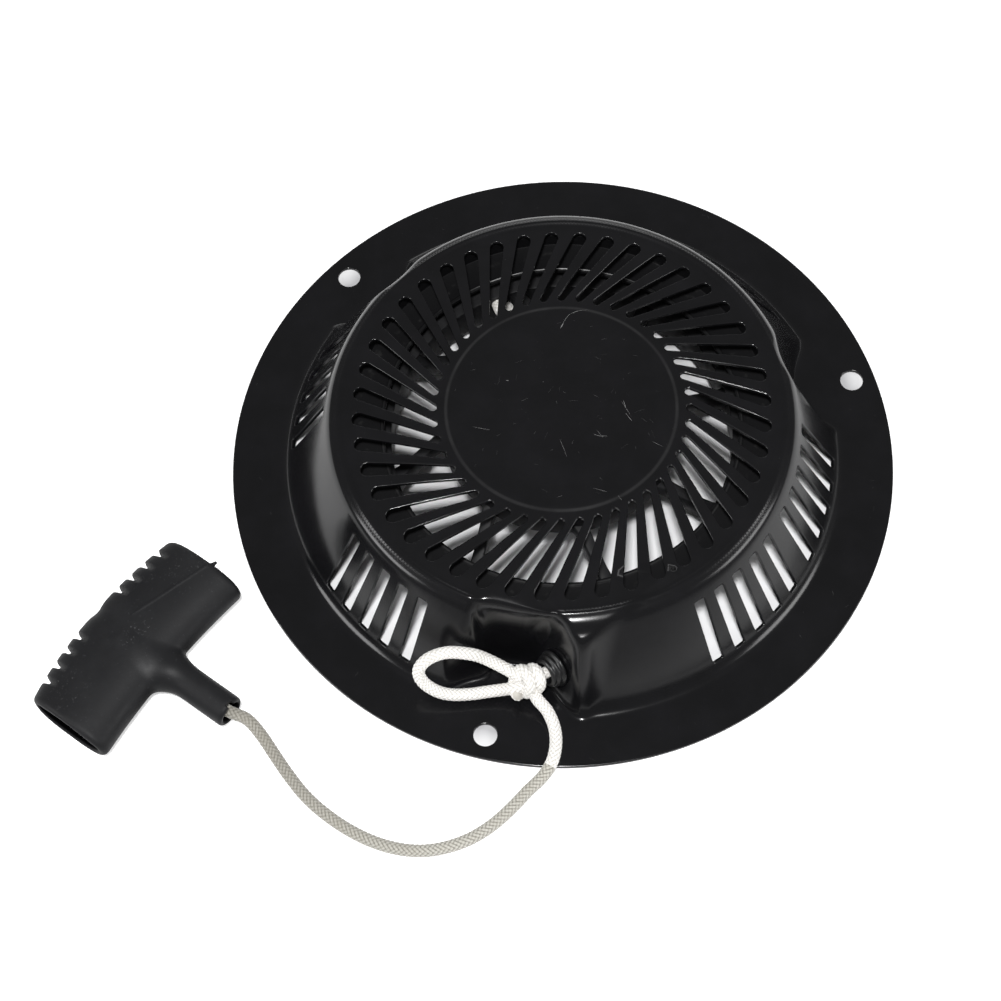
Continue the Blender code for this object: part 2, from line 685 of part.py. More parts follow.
def build_recoil_spring(mat):
    """Flat strip wound between post and reel."""
    count = SPRING_TURNS * SPRING_SEGMENTS
    section = ring_profile(-SPRING_HALF_THICKNESS, SPRING_HALF_THICKNESS, *SPRING_Z)
    verts = []
    for i in range(count + 1):
        share = i / count
        angle = 2 * math.pi * SPRING_TURNS * share
        radius = SPRING_START_RADIUS + (SPRING_END_RADIUS - SPRING_START_RADIUS) * share
        verts += [((radius + offset) * math.cos(angle), (radius + offset) * math.sin(angle), z)
                  for offset, z in section]
    add_object("recoil_spring", (verts, loft_faces(count + 1, 4)), mat)


# ------------------------------------------------------------------- the reel
def reel_spoke(index):
    """Leaning bar that drops from the hub to the rope ring."""
    angle = SPOKE_FIRST_ANGLE + 360 / SPOKE_COUNT * index
    start = Vector(polar(HUB_RADIUS - SPOKE_HUB_OVERLAP, angle))
    end = Vector(polar(RING_INNER_RADIUS + SPOKE_RING_OVERLAP, angle + SPOKE_LEAN))
    outward = (end - start).normalized()
    half = Vector((-outward.y, outward.x)) * SPOKE_HALF_WIDTH
    corners = ((start - half, SPOKE_HUB_Z), (end - half, SPOKE_RING_Z),
               (end + half, SPOKE_RING_Z), (start + half, SPOKE_HUB_Z))
    verts = [(point.x, point.y, heights[level]) for level in (0, 1) for point, heights in corners]
    return verts, loft_faces(2, 4)


def build_reel(mat):
    hub_edge = HUB_RADIUS - REEL_CHAMFER
    hub = [(REEL_BORE_RADIUS, 15.8), (LOWER_HUB_RADIUS - REEL_CHAMFER, 15.8),
           (LOWER_HUB_RADIUS, 16.4), (LOWER_HUB_RADIUS, 27.0), (hub_edge, 27.0),
           (HUB_RADIUS, 27.6), (HUB_RADIUS, 37.0), (hub_edge, 37.5), (CAVITY_RADIUS, 37.5),
           (CAVITY_RADIUS, 29.0), (REEL_BORE_RADIUS, 29.0)]
    flange_edge = REEL_FLANGE_RADIUS - REEL_CHAMFER
    ring = [(RING_INNER_RADIUS, 6.0), (flange_edge, 5.5), (REEL_FLANGE_RADIUS, 6.1),
            (REEL_FLANGE_RADIUS, 7.0), (flange_edge, 7.4), (GROOVE_RADIUS, 7.5),
            (GROOVE_RADIUS, 20.1), (flange_edge, 20.2), (REEL_FLANGE_RADIUS, 20.7),
            (REEL_FLANGE_RADIUS, 21.4), (flange_edge, 22.0), (RING_INNER_RADIUS, 21.5)]
    reel = add_object("reel", lathe(hub, 48), mat)
    parts = [add_object("cut_ring", lathe(ring, 60), mat)]
    parts += [add_object("cut_spoke", reel_spoke(k), mat) for k in range(SPOKE_COUNT)]
    boolean(reel, parts, "UNION")


def build_reel_bush(mat):
    profile = ring_profile(inner=8.7, outer=10.8, bottom=11.0, top=24.6)
    add_object("reel_bush", lathe(profile, 36), mat)


def build_spring_cover(mat):
    profile = ring_profile(inner=11.0, outer=43.6, bottom=36.2, top=37.2)
    add_object("spring_cover", lathe(profile, 40), mat)


# ------------------------------------------------------- rope inside the housing
def tangent_angle():
    """Angle on the coil where the rope leaves it for the exit."""
    bearing = math.degrees(math.atan2(EXIT[1], EXIT[0])) % 360
    return bearing + math.degrees(math.acos(COIL_OUTER_RADIUS / math.hypot(*EXIT)))


def build_rope_on_reel(mat):
    """Outer layer climbing from the leaving point, then an inner layer coming down."""
    start = tangent_angle()
    total = ANCHOR_ANGLE + 3 * 360.0 - start
    count = int(total / COIL_STEP)
    change_end = OUTER_LAYER_SWEEP + LAYER_CHANGE_SWEEP
    points = []
    for i in range(count + 1):
        swept = total * i / count
        share = min(max((swept - OUTER_LAYER_SWEEP) / LAYER_CHANGE_SWEEP, 0.0), 1.0)
        share = share * share * (3 - 2 * share)
        radius = COIL_OUTER_RADIUS + (COIL_INNER_RADIUS - COIL_OUTER_RADIUS) * share
        climb = min(swept, OUTER_LAYER_SWEEP) - max(swept - change_end, 0.0)
        points.append((*polar(radius, start + swept), COIL_Z + COIL_PITCH * climb / 360.0))
    add_object("rope_on_reel", sweep(points, ROPE_RADIUS, 6), mat)


def build_rope_anchor_knot(mat):
    """Knot that anchors the rope inside the reel."""
    profile = [(0, -4.4), (2.6, -4.0), (4.4, -2.0), (4.0, -0.3), (4.6, 1.6), (3.9, 3.6),
               (2.0, 4.8), (0, 5.1)]
    centre = (*polar(ANCHOR_RADIUS, ANCHOR_ANGLE), ANCHOR_Z)
    axis = (*polar(1.0, ANCHOR_ANGLE + 90), 0)
    add_object("rope_anchor_knot", turned(profile, 12, centre, axis), mat, centre)


def build_rope_lead(mat):
    """Rope from the reel out through the bushing."""
    leaving = Vector((*polar(COIL_OUTER_RADIUS, tangent_angle()), COIL_Z))
    start = leaving + Vector((*PULL, 0)) * LEAD_GAP
    centre, normal = exit_frame()
    inside = centre - normal * 9
    controls = [start, start.lerp(inside, 0.5), inside, centre - normal * 4, centre,
                centre + normal * 5.0]
    add_object("rope_lead", sweep(spline(controls, 3), ROPE_RADIUS, 8), mat)


# ------------------------------------------------------------ pawls and guide
def pawl_point(x, y, angle, swing=0.0):
    """Reel position of a point in the frame of the pawl pivoted at angle."""
    pivot_x, pivot_y = polar(PAWL_PIVOT_RADIUS, angle)
    turned_x, turned_y = rotate(x, y, angle + swing)
    return pivot_x + turned_x, pivot_y + turned_y


def build_pawl(number, angle, mat):
    """Pawl plate with an eye, and a peg that hangs into the guide's slot."""
    eye = [polar(PAWL_EYE_RADIUS, 10 + 160 * k / 8) for k in range(9)]
    outline = [pawl_point(x, y, angle) for x, y in (*eye, *PAWL_NOSE)]
    pivot = polar(PAWL_PIVOT_RADIUS, angle)
    plate = prism(outline, [circle(*pivot, 2.45, 14)], *PAWL_Z)
    pawl = add_object("pawl_%d" % number, plate, mat, (*pivot, 13.2))
    centre = (*pawl_point(*PAWL_PEG, angle), 0)
    peg = turned(rod_profile(radius=1.5, bottom=8.0, top=12.0), 12, centre)
    boolean(pawl, [add_object("cut_peg", peg, mat)], "UNION")


def build_pawl_pin(number, angle, mat):
    pivot = polar(PAWL_PIVOT_RADIUS, angle)
    pin = turned(rod_profile(radius=2.15, bottom=10.2, top=15.6), 14, (*pivot, 0))
    add_object("pawl_pin_%d" % number, pin, mat, (*pivot, 13.0))


def build_pawl_spring(number, angle, mat):
    """Wire leg of the return spring, behind the pawl."""
    leg = [(*pawl_point(x, y, angle), PAWL_SPRING_Z) for x, y in PAWL_SPRING_LEG]
    add_object("pawl_spring_%d" % number, sweep(spline(leg, 3), 0.5, 6), mat)


def cam_slot(turn):
    """Slot that follows the first pawl's peg as the guide turns, turned about Z."""
    path = []
    for k in range(-1, CAM_INTERVALS + 2):
        peg = pawl_point(*PAWL_PEG, PAWL_ANGLES[0], swing=PAWL_SWING * k / CAM_INTERVALS)
        path.append(Vector(rotate(*peg, turn - GUIDE_TURN * k / CAM_INTERVALS)))
    one_side, other_side = [], []
    for k, point in enumerate(path):
        tangent = (path[min(k + 1, len(path) - 1)] - path[max(k - 1, 0)]).normalized()
        offset = Vector((-tangent.y, tangent.x)) * CAM_HALF_WIDTH
        one_side.append(tuple(point + offset))
        other_side.append(tuple(point - offset))
    return one_side + other_side[::-1]


def build_ratchet_guide(mat):
    """Disc with a cam slot for each pawl's peg."""
    holes = [cam_slot(0.0), cam_slot(180.0), circle(0, 0, GUIDE_BORE_RADIUS, 24)]
    add_object("ratchet_guide", prism(circle(0, 0, GUIDE_RADIUS, 48), holes, *GUIDE_Z), mat)


def build_friction_spring(mat):
    """Open wire ring with both ends turned out towards +X."""
    path = [(17.0, 3.0), (13.4, 3.2)]
    path += [polar(FRICTION_RADIUS, angle) for angle in range(20, 341, 16)]
    path += [(13.4, -3.2), (17.0, -3.0)]
    add_object("friction_spring", sweep([(x, y, FRICTION_Z) for x, y in path], 0.6, 6), mat)


def build_retainer_washer(mat):
    profile = ring_profile(inner=4.4, outer=15.0, bottom=5.3, top=6.4)
    add_object("retainer_washer", lathe(profile, 32), mat)


def build_center_bolt(mat):
    """Hexagon head on the ground plane, with a collar and shank above it."""
    head = prism(circle(0, 0, 7.5, 6, phase=10 / 60), [], 0.0, 4.2)
    bolt = add_object("center_bolt", head, mat)
    shank = turned([(0, 3.8), (8.6, 3.8), (8.6, 5.0), (3.95, 5.0), (3.95, 25.0), (0, 25.0)], 24)
    boolean(bolt, [add_object("cut_shank", shank, mat)], "UNION")


# ------------------------------------------------------ handle and outside rope
def grip_to_world(along, depth, lift):
    cosine, sine = polar(1.0, GRIP_ANGLE)
    return (GRIP_ORIGIN[0] + cosine * along + sine * depth,
            GRIP_ORIGIN[1] + sine * along - cosine * depth, GRIP_Z + lift)


def turn_on_stem(shape, profile, segments):
    """Lathe or turn a (radius, depth) profile about the stem's axis."""
    cosine, sine = polar(1.0, GRIP_ANGLE)
    return shape(profile, segments, grip_to_world(0, 0, 0), (sine, -cosine, 0))


def serrated_edge(along):
    """Depth of the grooved edge: bowed, with finger grooves and a shallow middle dip."""
    depth = -4.9 + 4.6 * (abs(along - 1.0) / 41.0) ** 2.2
    for centre in GRIP_GROOVES:
        depth += GROOVE_DEPTH * math.exp(-((along - centre) / GROOVE_WIDTH) ** 2)
    return depth + 0.9 * math.exp(-((along - 1.4) / 3.2) ** 2)


def stem_side_edge(along):
    return 33.0 + 2.2 * min(1.0, (abs(along) / 38.0) ** 2.0)


def grip_half_thickness(along, depth):
    edge = serrated_edge(along)
    share = min(max((depth - edge) / (stem_side_edge(along) - edge), 0.0), 1.0)
    if share < GRIP_THICKEST:
        fall = ((share - GRIP_THICKEST) / GRIP_THICKEST) ** 2
    else:
        fall = ((share - GRIP_THICKEST) / GRIP_TAPER) ** 2.4
    return max(GRIP_HALF_THICKNESS * math.sqrt(max(0.0, 1.0 - fall)), GRIP_MIN_HALF)


def grip_body():
    """Flattened cross tube, lofted along its stations."""
    verts = []
    for along in GRIP_STATIONS:
        inset = GRIP_END_INSET if abs(along) > GRIP_END else 0.0
        edge = serrated_edge(along) + inset
        far_edge = stem_side_edge(along) - inset
        for k in range(GRIP_SIDES):
            angle = 2 * math.pi * k / GRIP_SIDES
            cosine, sine = math.cos(angle), math.sin(angle)
            # 0 at the serrated edge, 1 at the stem side
            share = 0.5 - 0.5 * math.copysign(abs(cosine) ** 0.8, cosine)
            depth = edge + (far_edge - edge) * share
            half = grip_half_thickness(along, depth) * abs(sine) ** 0.55
            lift = math.copysign(max(half - inset, 0.0), sine)
            verts.append(grip_to_world(along, depth, lift))
    return verts, loft_faces(len(GRIP_STATIONS), GRIP_SIDES)


def grip_hollow():
    """Elliptical bore right through the cross tube."""
    sides = 20
    angles = [2 * math.pi * k / sides for k in range(sides)]
    verts = [grip_to_world(along, 17.0 - 13.0 * math.cos(angle), 5.4 * math.sin(angle))
             for along in (-45.0, 45.0) for angle in angles]
    return verts, loft_faces(2, sides)


def build_handle_grip(mat):
    """Hollow T-shaped pull handle: flattened cross tube and a round stem."""
    grip = add_object("handle_grip", grip_body(), mat, grip_to_world(0, 16, 0))
    stem = [(0, 12), (7.4, 12), (7.4, 27.0), (8.4, 31.0), (7.2, 35.0), (6.6, 41.0), (6.3, 62.0),
            (5.6, STEM_END), (0, STEM_END)]
    boolean(grip, [add_object("cut_stem", turn_on_stem(turned, stem, 20), mat)], "UNION")
    bore = [(0, 17.0), (5.4, 17.0), (5.4, 30.0), (3.6, 30.0), (3.6, 58.0), (4.6, 64.0), (0, 64.0)]
    cutters = [add_object("cut_tube", grip_hollow(), mat),
               add_object("cut_bore", turn_on_stem(turned, bore, 16), mat)]
    boolean(grip, cutters, "DIFFERENCE")


def build_handle_retainer(mat):
    """Washer inside the handle."""
    profile = ring_profile(inner=2.75, outer=4.9, bottom=28.0, top=29.4)
    add_object("handle_retainer", turn_on_stem(lathe, profile, 18), mat)


def build_handle_knot(mat):
    profile = [(0, 19.4), (2.6, 19.8), (3.6, 21.4), (3.8, 24.4), (3.2, 26.8), (0, 27.6)]
    add_object("handle_knot", turn_on_stem(turned, profile, 12), mat)


def build_stop_knot(mat):
    """Knot just outside the bushing."""
    profile = [(0, -5.6), (3.0, -5.3), (5.2, -3.4), (6.0, -1.0), (5.4, 0.4), (6.0, 2.0),
               (5.0, 4.4), (2.6, 5.6), (0, 5.8)]
    knot = turned(profile, 14, STOP_KNOT_CENTRE, axis=(0.45, 0.89, 0.1))
    add_object("stop_knot", knot, mat, STOP_KNOT_CENTRE)


def build_rope_loop(mat):
    add_object("rope_loop", sweep(spline(ROPE_LOOP, 2), ROPE_RADIUS, 7), mat)


def build_rope_tail(mat):
    """Slack rope from near the stop knot, on into the handle's stem."""
    in_stem = [grip_to_world(0, 61.0, -0.4)]
    in_stem += [grip_to_world(0, depth, 0) for depth in (50.0, 36.0, 30.5)]
    path = spline([*ROPE_TAIL, *in_stem], 2)
    add_object("rope_tail", sweep(path, ROPE_RADIUS, 7), mat)


def build():
    clear_scene()
    enamel = material("black_enamel", rgb=(0.012, 0.012, 0.013), roughness=0.22, metallic=0.0)
    baffle = material("baffle_steel", rgb=(0.02, 0.02, 0.021), roughness=0.4, metallic=0.3)
    rubber = material("grommet_rubber", rgb=(0.015, 0.015, 0.015), roughness=0.55, metallic=0.0)
    steel = material("bright_steel", rgb=(0.55, 0.55, 0.56), roughness=0.32, metallic=1.0)
    spring = material("spring_steel", rgb=(0.18, 0.18, 0.2), roughness=0.35, metallic=1.0)
    plastic = material("reel_plastic", rgb=(0.03, 0.03, 0.032), roughness=0.45, metallic=0.0)
    rope = material("rope_nylon", rgb=(0.82, 0.8, 0.75), roughness=0.75, metallic=0.0)
    handle = material("handle_rubber", rgb=(0.035, 0.036, 0.04), roughness=0.6, metallic=0.0)
    pawl = material("pawl_steel", rgb=(0.4, 0.38, 0.34), roughness=0.4, metallic=1.0)
    bush = material("bush_nylon", rgb=(0.7, 0.68, 0.6), roughness=0.5, metallic=0.0)

    build_housing(enamel)
    build_baffle_ring(baffle)
    build_rope_bushing(rubber)
    build_center_post(steel)
    build_recoil_spring(spring)
    build_reel(plastic)
    build_reel_bush(bush)
    build_spring_cover(steel)
    build_rope_on_reel(rope)
    build_rope_anchor_knot(rope)
    for number, angle in enumerate(PAWL_ANGLES, 1):
        build_pawl(number, angle, pawl)
        build_pawl_pin(number, angle, steel)
        build_pawl_spring(number, angle, spring)
    build_ratchet_guide(steel)
    build_friction_spring(spring)
    build_retainer_washer(steel)
    build_center_bolt(steel)
    build_rope_lead(rope)
    build_stop_knot(rope)
    build_rope_loop(rope)
    build_rope_tail(rope)
    build_handle_grip(handle)
    build_handle_retainer(steel)
    build_handle_knot(rope)


build()
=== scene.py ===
"""Recoil starter: pressed housing, rope reel, braided cord and pull handle.

The starter's axis is +Z through the origin and the bolt flange rests on Z = 0. The rope
leaves the housing on its -Y side and runs to the handle, which lies out towards -X.
Lengths are millimetres, written to the meshes in metres; angles are degrees unless noted.
"""
import math

import bmesh
import bpy
import numpy as np
from mathutils import Matrix, Vector
from mathutils.geometry import delaunay_2d_cdt


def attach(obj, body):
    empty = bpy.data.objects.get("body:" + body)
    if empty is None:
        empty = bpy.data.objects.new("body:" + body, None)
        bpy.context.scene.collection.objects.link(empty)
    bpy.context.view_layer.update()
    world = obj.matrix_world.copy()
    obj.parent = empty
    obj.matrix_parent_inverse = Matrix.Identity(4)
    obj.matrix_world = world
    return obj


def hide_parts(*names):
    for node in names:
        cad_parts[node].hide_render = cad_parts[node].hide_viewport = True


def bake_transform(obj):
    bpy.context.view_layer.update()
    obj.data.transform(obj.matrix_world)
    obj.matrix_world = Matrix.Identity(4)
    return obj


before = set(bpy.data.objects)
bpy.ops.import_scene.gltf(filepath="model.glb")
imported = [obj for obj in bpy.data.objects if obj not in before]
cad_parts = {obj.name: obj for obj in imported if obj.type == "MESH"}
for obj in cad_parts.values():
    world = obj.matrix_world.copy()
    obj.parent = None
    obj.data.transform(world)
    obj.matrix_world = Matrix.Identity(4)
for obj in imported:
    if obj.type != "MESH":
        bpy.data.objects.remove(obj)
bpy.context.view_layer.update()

MM = 0.001

# ---------------------------------------------------------------- dimensions
# Housing
SHEET = 1.4                 # sheet thickness
FLANGE_R = 130.0            # outer radius of the bolt flange
FLANGE_TOP = SHEET          # top face of the flange
FLAT_R = 121.0              # the flange is flat beyond this radius
WALL_R = 108.3              # foot of the conical wall
WALL_SLOPE = 1.894          # rise per unit of radius
TOP_EDGE_Z = 39.0           # grille height 40 mm outside TOP_FALL_R
TOP_HUB_Z = 41.3            # grille height inside TOP_FALL_R
TOP_FALL_R = 44.0
TOP_FALL = 40.0
DISC_R = 43.6               # plain centre disc
DISC_STEP = 0.45
DISC_EDGE = 1.6             # half width of the step round the disc
RIM_R = 85.2                # rolled bead round the grille
RIM_H = 0.9
RIM_W = 1.4
BOLT_N = 3
BOLT_PCR = 120.7            # bolt circle radius
BOLT_A0 = 12.6
BOLT_HOLE_R = 4.5
NOTCH_R = 24.0              # round notch in the wall beside each bolt hole
NOTCH_SLOPE = 4.7

# Grille slots, each skewed from its outer round end to its inner one
SLOT_N = 44
SLOT_A0 = 7.3
SLOT_OUT_R = 77.3           # centre of the outer end
SLOT_IN_R = 48.8            # centre of the inner end
SLOT_OUT_W = 5.4
SLOT_IN_W = 2.9
SLOT_SKEW = 13.4

# Slots in the conical wall
SIDE_GROUPS = (101.7, 163.0, 221.0, 311.2, 341.9, 43.2)   # middle of each group
SIDE_PER = 5
SIDE_PITCH = 5.65
SIDE_R_OUT = 106.6
SIDE_R_IN = 91.9
SIDE_W = 4.7
SIDE_CORNER = 0.8
SIDE_CORNER_RADIAL = 0.6    # radial length of a corner, as a share of SIDE_CORNER

# Rope exit: a sloping end wall on the boss, square to the pulled rope in plan
EXIT = (-6.7, -93.6)        # point on the end wall at height EXIT_REF_Z
EXIT_REF_Z = 20.0
END_SLOPE = 4.0             # fall of the end wall per unit along the rope
PULL = (-0.8415, -0.5403)   # unit vector along the pulled rope
EXIT_Z = 13.0               # height of the hole's centre
EXIT_HOLE_R = 5.6
EXIT_FORESHORTEN = 0.2425   # plan depth of the sloping hole over its true height
BOSS_TOP = 36.3
BOSS_SIDE = (0.566, -0.824)     # plan direction the boss's other sloping face looks in
BOSS_SIDE_D = 80.2              # that face's distance from the axis
POCKET_INNER_R = 88.4
POCKET_SIDE_A = 249.5

# Reel
REEL_BORE_R = 11.1
HUB_R = 46.5
CAVITY_R = 44.0
LOWER_HUB_R = 31.0
RING_IN_R = 66.0
GROOVE_R = 67.8
REEL_FLANGE_R = 79.0
REEL_BEVEL = 0.6
RIB_N = 8
POST_R = 8.5
TURNED_SEGMENTS = 160

# Rope wound in two layers: the outer climbs from COIL_Z, the inner comes back down
COIL_R_IN = 70.7
COIL_R_OUT = 75.6
COIL_PITCH = 4.93
COIL_Z = 11.5
COIL_OUTER = 430.0          # turn taken by the outer layer
COIL_CROSS = 40.0           # turn taken to step inwards
COIL_STEP = 2.0
ANCHOR_A = 107.5            # where the rope ends inside the reel

KNOT_C = Vector((-19.6, -98.9, 11.8))

# Loop of cord at the stop knot: x, y, z
LOOP = (
    (-27.0, -94.4, 14.0), (-34.1, -91.0, 16.4), (-39.5, -90.7, 21.0), (-47.7, -90.7, 24.0),
    (-54.1, -92.2, 24.0), (-58.0, -94.0, 21.6), (-59.3, -95.6, 17.6), (-57.7, -97.6, 13.0),
    (-53.2, -99.7, 9.2), (-47.7, -100.6, 7.0), (-40.5, -100.6, 6.4), (-34.2, -100.3, 7.0),
    (-28.2, -100.4, 8.4))

# Cord from the stop knot to the handle: x, y, z
TAIL = (
    (-16.0, -105.0, 8.6), (-12.4, -109.6, 7.0), (-10.2, -115.8, 5.2), (-10.2, -122.5, 4.6),
    (-12.2, -129.0, 4.3), (-16.2, -134.0, 3.0), (-21.5, -138.6, 2.6), (-27.5, -144.5, 2.6),
    (-34.8, -150.6, 2.6), (-43.0, -155.4, 2.6), (-52.0, -158.3, 2.6), (-61.0, -159.2, 2.6),
    (-70.0, -157.9, 2.6), (-79.0, -154.6, 2.6), (-88.0, -149.4, 2.6), (-96.4, -142.8, 2.7),
    (-103.6, -135.4, 2.8), (-109.6, -127.0, 3.0), (-114.8, -118.6, 3.6), (-119.4, -111.2, 5.0),
    (-124.4, -105.6, 7.6))
TAIL_SPLIT = Vector((-12.6, -130.0, 4.2))   # the cord changes colour nearest this point

# Handle frame: x along the serrated edge, y from that edge down the stem, z up
GRIP_O = (-178.3, -63.7)    # middle of the serrated edge
GRIP_A = math.radians(50.5)
GRIP_Z = 9.6
GRIP_Y_AXIS = Vector((math.sin(GRIP_A), -math.cos(GRIP_A), 0))
GRIP_HALF = 41.0            # half length of the grip
GRIP_HALF_Z = 9.0
GROOVES = (-31.2, -24.4, -17.6, -10.8, 12.8, 19.6, 26.4, 33.2)   # x of each groove


# ------------------------------------------------------------------ geometry
def polar(radius, angle):
    """Plan point at an angle in radians."""
    return radius * math.cos(angle), radius * math.sin(angle)


def circle(x, y, radius, count, phase=0.0):
    return [(x + radius * math.cos(2 * math.pi * (i + phase) / count),
             y + radius * math.sin(2 * math.pi * (i + phase) / count)) for i in range(count)]


def axes_from(axis):
    """Two unit vectors square to axis, and axis itself as a unit vector."""
    along = Vector(axis).normalized()
    ref = Vector((0, 0, 1)) if abs(along.z) < 0.9 else Vector((1, 0, 0))
    side = ref.cross(along).normalized()
    return side, along.cross(side).normalized(), along


def revolve(profile, count, centre=(0, 0, 0), axis=(0, 0, 1)):
    """The (radius, height) profile repeated round an axis."""
    side, other, along = axes_from(axis)
    centre = Vector(centre)
    verts = []
    for i in range(count):
        angle = 2 * math.pi * i / count
        outward = side * math.cos(angle) + other * math.sin(angle)
        verts += [centre + outward * radius + along * height for radius, height in profile]
    return verts


def lathe(profile, count, **place):
    """Ring body from a closed profile."""
    size = len(profile)
    faces = []
    for i in range(count):
        j = (i + 1) % count
        for k in range(size):
            m = (k + 1) % size
            faces.append((i * size + k, j * size + k, j * size + m, i * size + m))
    return revolve(profile, count, **place), faces


def turned(profile, count):
    """Solid of revolution about Z: the open profile starts and ends on the axis."""
    inner = profile[1:-1]
    size = len(inner)
    verts = [Vector((0, 0, profile[0][1])), Vector((0, 0, profile[-1][1]))]
    verts += revolve(inner, count)
    faces = []
    for i in range(count):
        row, following = 2 + i * size, 2 + (i + 1) % count * size
        faces.append((0, following, row))
        faces.append((1, row + size - 1, following + size - 1))
        for k in range(size - 1):
            faces.append((row + k, following + k, following + k + 1, row + k + 1))
    return verts, faces


def soft_profile(profile, radius, closed=True):
    """Rounds the corners of a (radius, height) profile, three segments to a corner."""
    segments = 3
    out = []
    for i, point in enumerate(profile):
        if not closed and i in (0, len(profile) - 1):
            out.append(point)
            continue
        corner = Vector(point)
        back = Vector(profile[i - 1]) - corner
        ahead = Vector(profile[(i + 1) % len(profile)]) - corner
        cut = min(radius, 0.45 * back.length, 0.45 * ahead.length)
        if cut < 1e-3 or abs(corner.x) < 1e-6:
            out.append(point)
            continue
        start, end = corner + back.normalized() * cut, corner + ahead.normalized() * cut
        for j in range(segments + 1):
            t = j / segments
            curve = start * (1 - t) ** 2 + corner * 2 * t * (1 - t) + end * t * t
            out.append((curve.x, curve.y))
    return out


def rectangle(inner, outer, low, high):
    """Profile of a plain ring."""
    return [(inner, low), (outer, low), (outer, high), (inner, high)]


def tube_faces(rows, sides, cap=True):
    """Faces joining rows of points into a tube."""
    faces = []
    for i in range(rows - 1):
        row = i * sides
        for k in range(sides):
            m = (k + 1) % sides
            faces.append((row + k, row + m, row + sides + m, row + sides + k))
    if cap:
        faces.append(tuple(range(sides - 1, -1, -1)))
        faces.append(tuple((rows - 1) * sides + k for k in range(sides)))
    return faces


def wire(points, radius, sides):
    """Round wire along points that lie level."""
    last = len(points) - 1
    verts = []
    side = None
    for i, point in enumerate(points):
        tangent = (points[min(i + 1, last)] - points[max(i - 1, 0)]).normalized()
        if side is None:
            side = Vector((0, 0, 1)).cross(tangent)
        else:
            side = side - tangent * side.dot(tangent)
        side.normalize()
        other = tangent.cross(side)
        for k in range(sides):
            angle = 2 * math.pi * k / sides
            verts.append(point + (side * math.cos(angle) + other * math.sin(angle)) * radius)
    return verts, tube_faces(len(points), sides)


def spline(control, per):
    """Catmull-Rom points through control, per points to a span."""
    knots = [Vector(p) for p in control]
    out = []
    for i in range(len(knots) - 1):
        p1, p2 = knots[i], knots[i + 1]
        p0 = knots[i - 1] if i > 0 else p1 * 2 - p2
        p3 = knots[i + 2] if i + 2 < len(knots) else p2 * 2 - p1
        for k in range(per):
            t = k / per
            out.append(0.5 * ((2 * p1) + (p2 - p0) * t + (2 * p0 - 5 * p1 + 4 * p2 - p3) * t * t
                              + (3 * p1 - p0 - 3 * p2 + p3) * t ** 3))
    out.append(knots[-1])
    return out


def resample(points, step):
    """Evenly spaced points along a path, and the length run at each."""
    path = np.array([tuple(p) for p in points], float)
    run = np.concatenate([[0], np.cumsum(np.linalg.norm(np.diff(path, axis=0), axis=1))])
    length = np.linspace(0, run[-1], max(int(run[-1] / step), 2) + 1)
    return np.stack([np.interp(length, run, path[:, k]) for k in range(3)], 1), length


def smooth_path(path, passes):
    for _ in range(passes):
        path[1:-1] = (path[:-2] + 2 * path[1:-1] + path[2:]) / 4
    return path


def soft_min(first, second, blend):
    share = np.clip(0.5 + 0.5 * (second - first) / blend, 0.0, 1.0)
    return second + (first - second) * share - blend * share * (1.0 - share)


def soft_max(first, second, blend):
    return -soft_min(-first, -second, blend)


def bell(distance, width, power=2):
    """1 at distance 0, falling away over width; a high power gives a flat top."""
    return np.exp(-(distance / width) ** power)


def distance_to(x, y, centre):
    return np.hypot(x - centre[0], y - centre[1])


def in_poly(x, y, poly):
    inside = False
    j = len(poly) - 1
    for i in range(len(poly)):
        xi, yi = poly[i]
        xj, yj = poly[j]
        if (yi > y) != (yj > y) and x < (xj - xi) * (y - yi) / (yj - yi) + xi:
            inside = not inside
        j = i
    return inside


def inside_loop(points, loop):
    return np.array([in_poly(x, y, loop) for x, y in points], bool)


def distance_to_loop(points, loop):
    x, y = points[:, 0], points[:, 1]
    best = np.full(x.shape, 1e9)
    for (x0, y0), (x1, y1) in zip(loop, np.roll(loop, -1, axis=0)):
        dx, dy = x1 - x0, y1 - y0
        along = np.clip(((x - x0) * dx + (y - y0) * dy) / (dx * dx + dy * dy), 0, 1)
        best = np.minimum(best, np.hypot(x - x0 - along * dx, y - y0 - along * dy))
    return best


def offset_loop(poly, distance):
    """Closed outline grown by distance, whichever way it winds."""
    points = np.asarray(poly, float)
    x, y = points[:, 0], points[:, 1]
    edge = np.roll(points, -1, axis=0) - points
    area = 0.5 * np.sum(x * np.roll(y, -1) - np.roll(x, -1) * y)
    edge = edge / np.linalg.norm(edge, axis=1)[:, None]
    normal = np.stack([edge[:, 1], -edge[:, 0]], 1) * (1 if area > 0 else -1)
    mitre = normal + np.roll(normal, 1, axis=0)
    mitre /= np.maximum(np.linalg.norm(mitre, axis=1)[:, None], 1e-6)
    stretch = 1.0 / np.maximum(np.sum(mitre * normal, axis=1), 0.6)
    return points + mitre * (distance * stretch)[:, None]


def densify(poly, step):
    """Splits the sides of a closed outline that are longer than step."""
    out = []
    for i, start in enumerate(poly):
        end = poly[(i + 1) % len(poly)]
        out.append(tuple(start))
        splits = int(math.hypot(end[0] - start[0], end[1] - start[1]) / step)
        for j in range(1, splits + 1):
            part = j / (splits + 1)
            out.append((start[0] + (end[0] - start[0]) * part,
                        start[1] + (end[1] - start[1]) * part))
    return out


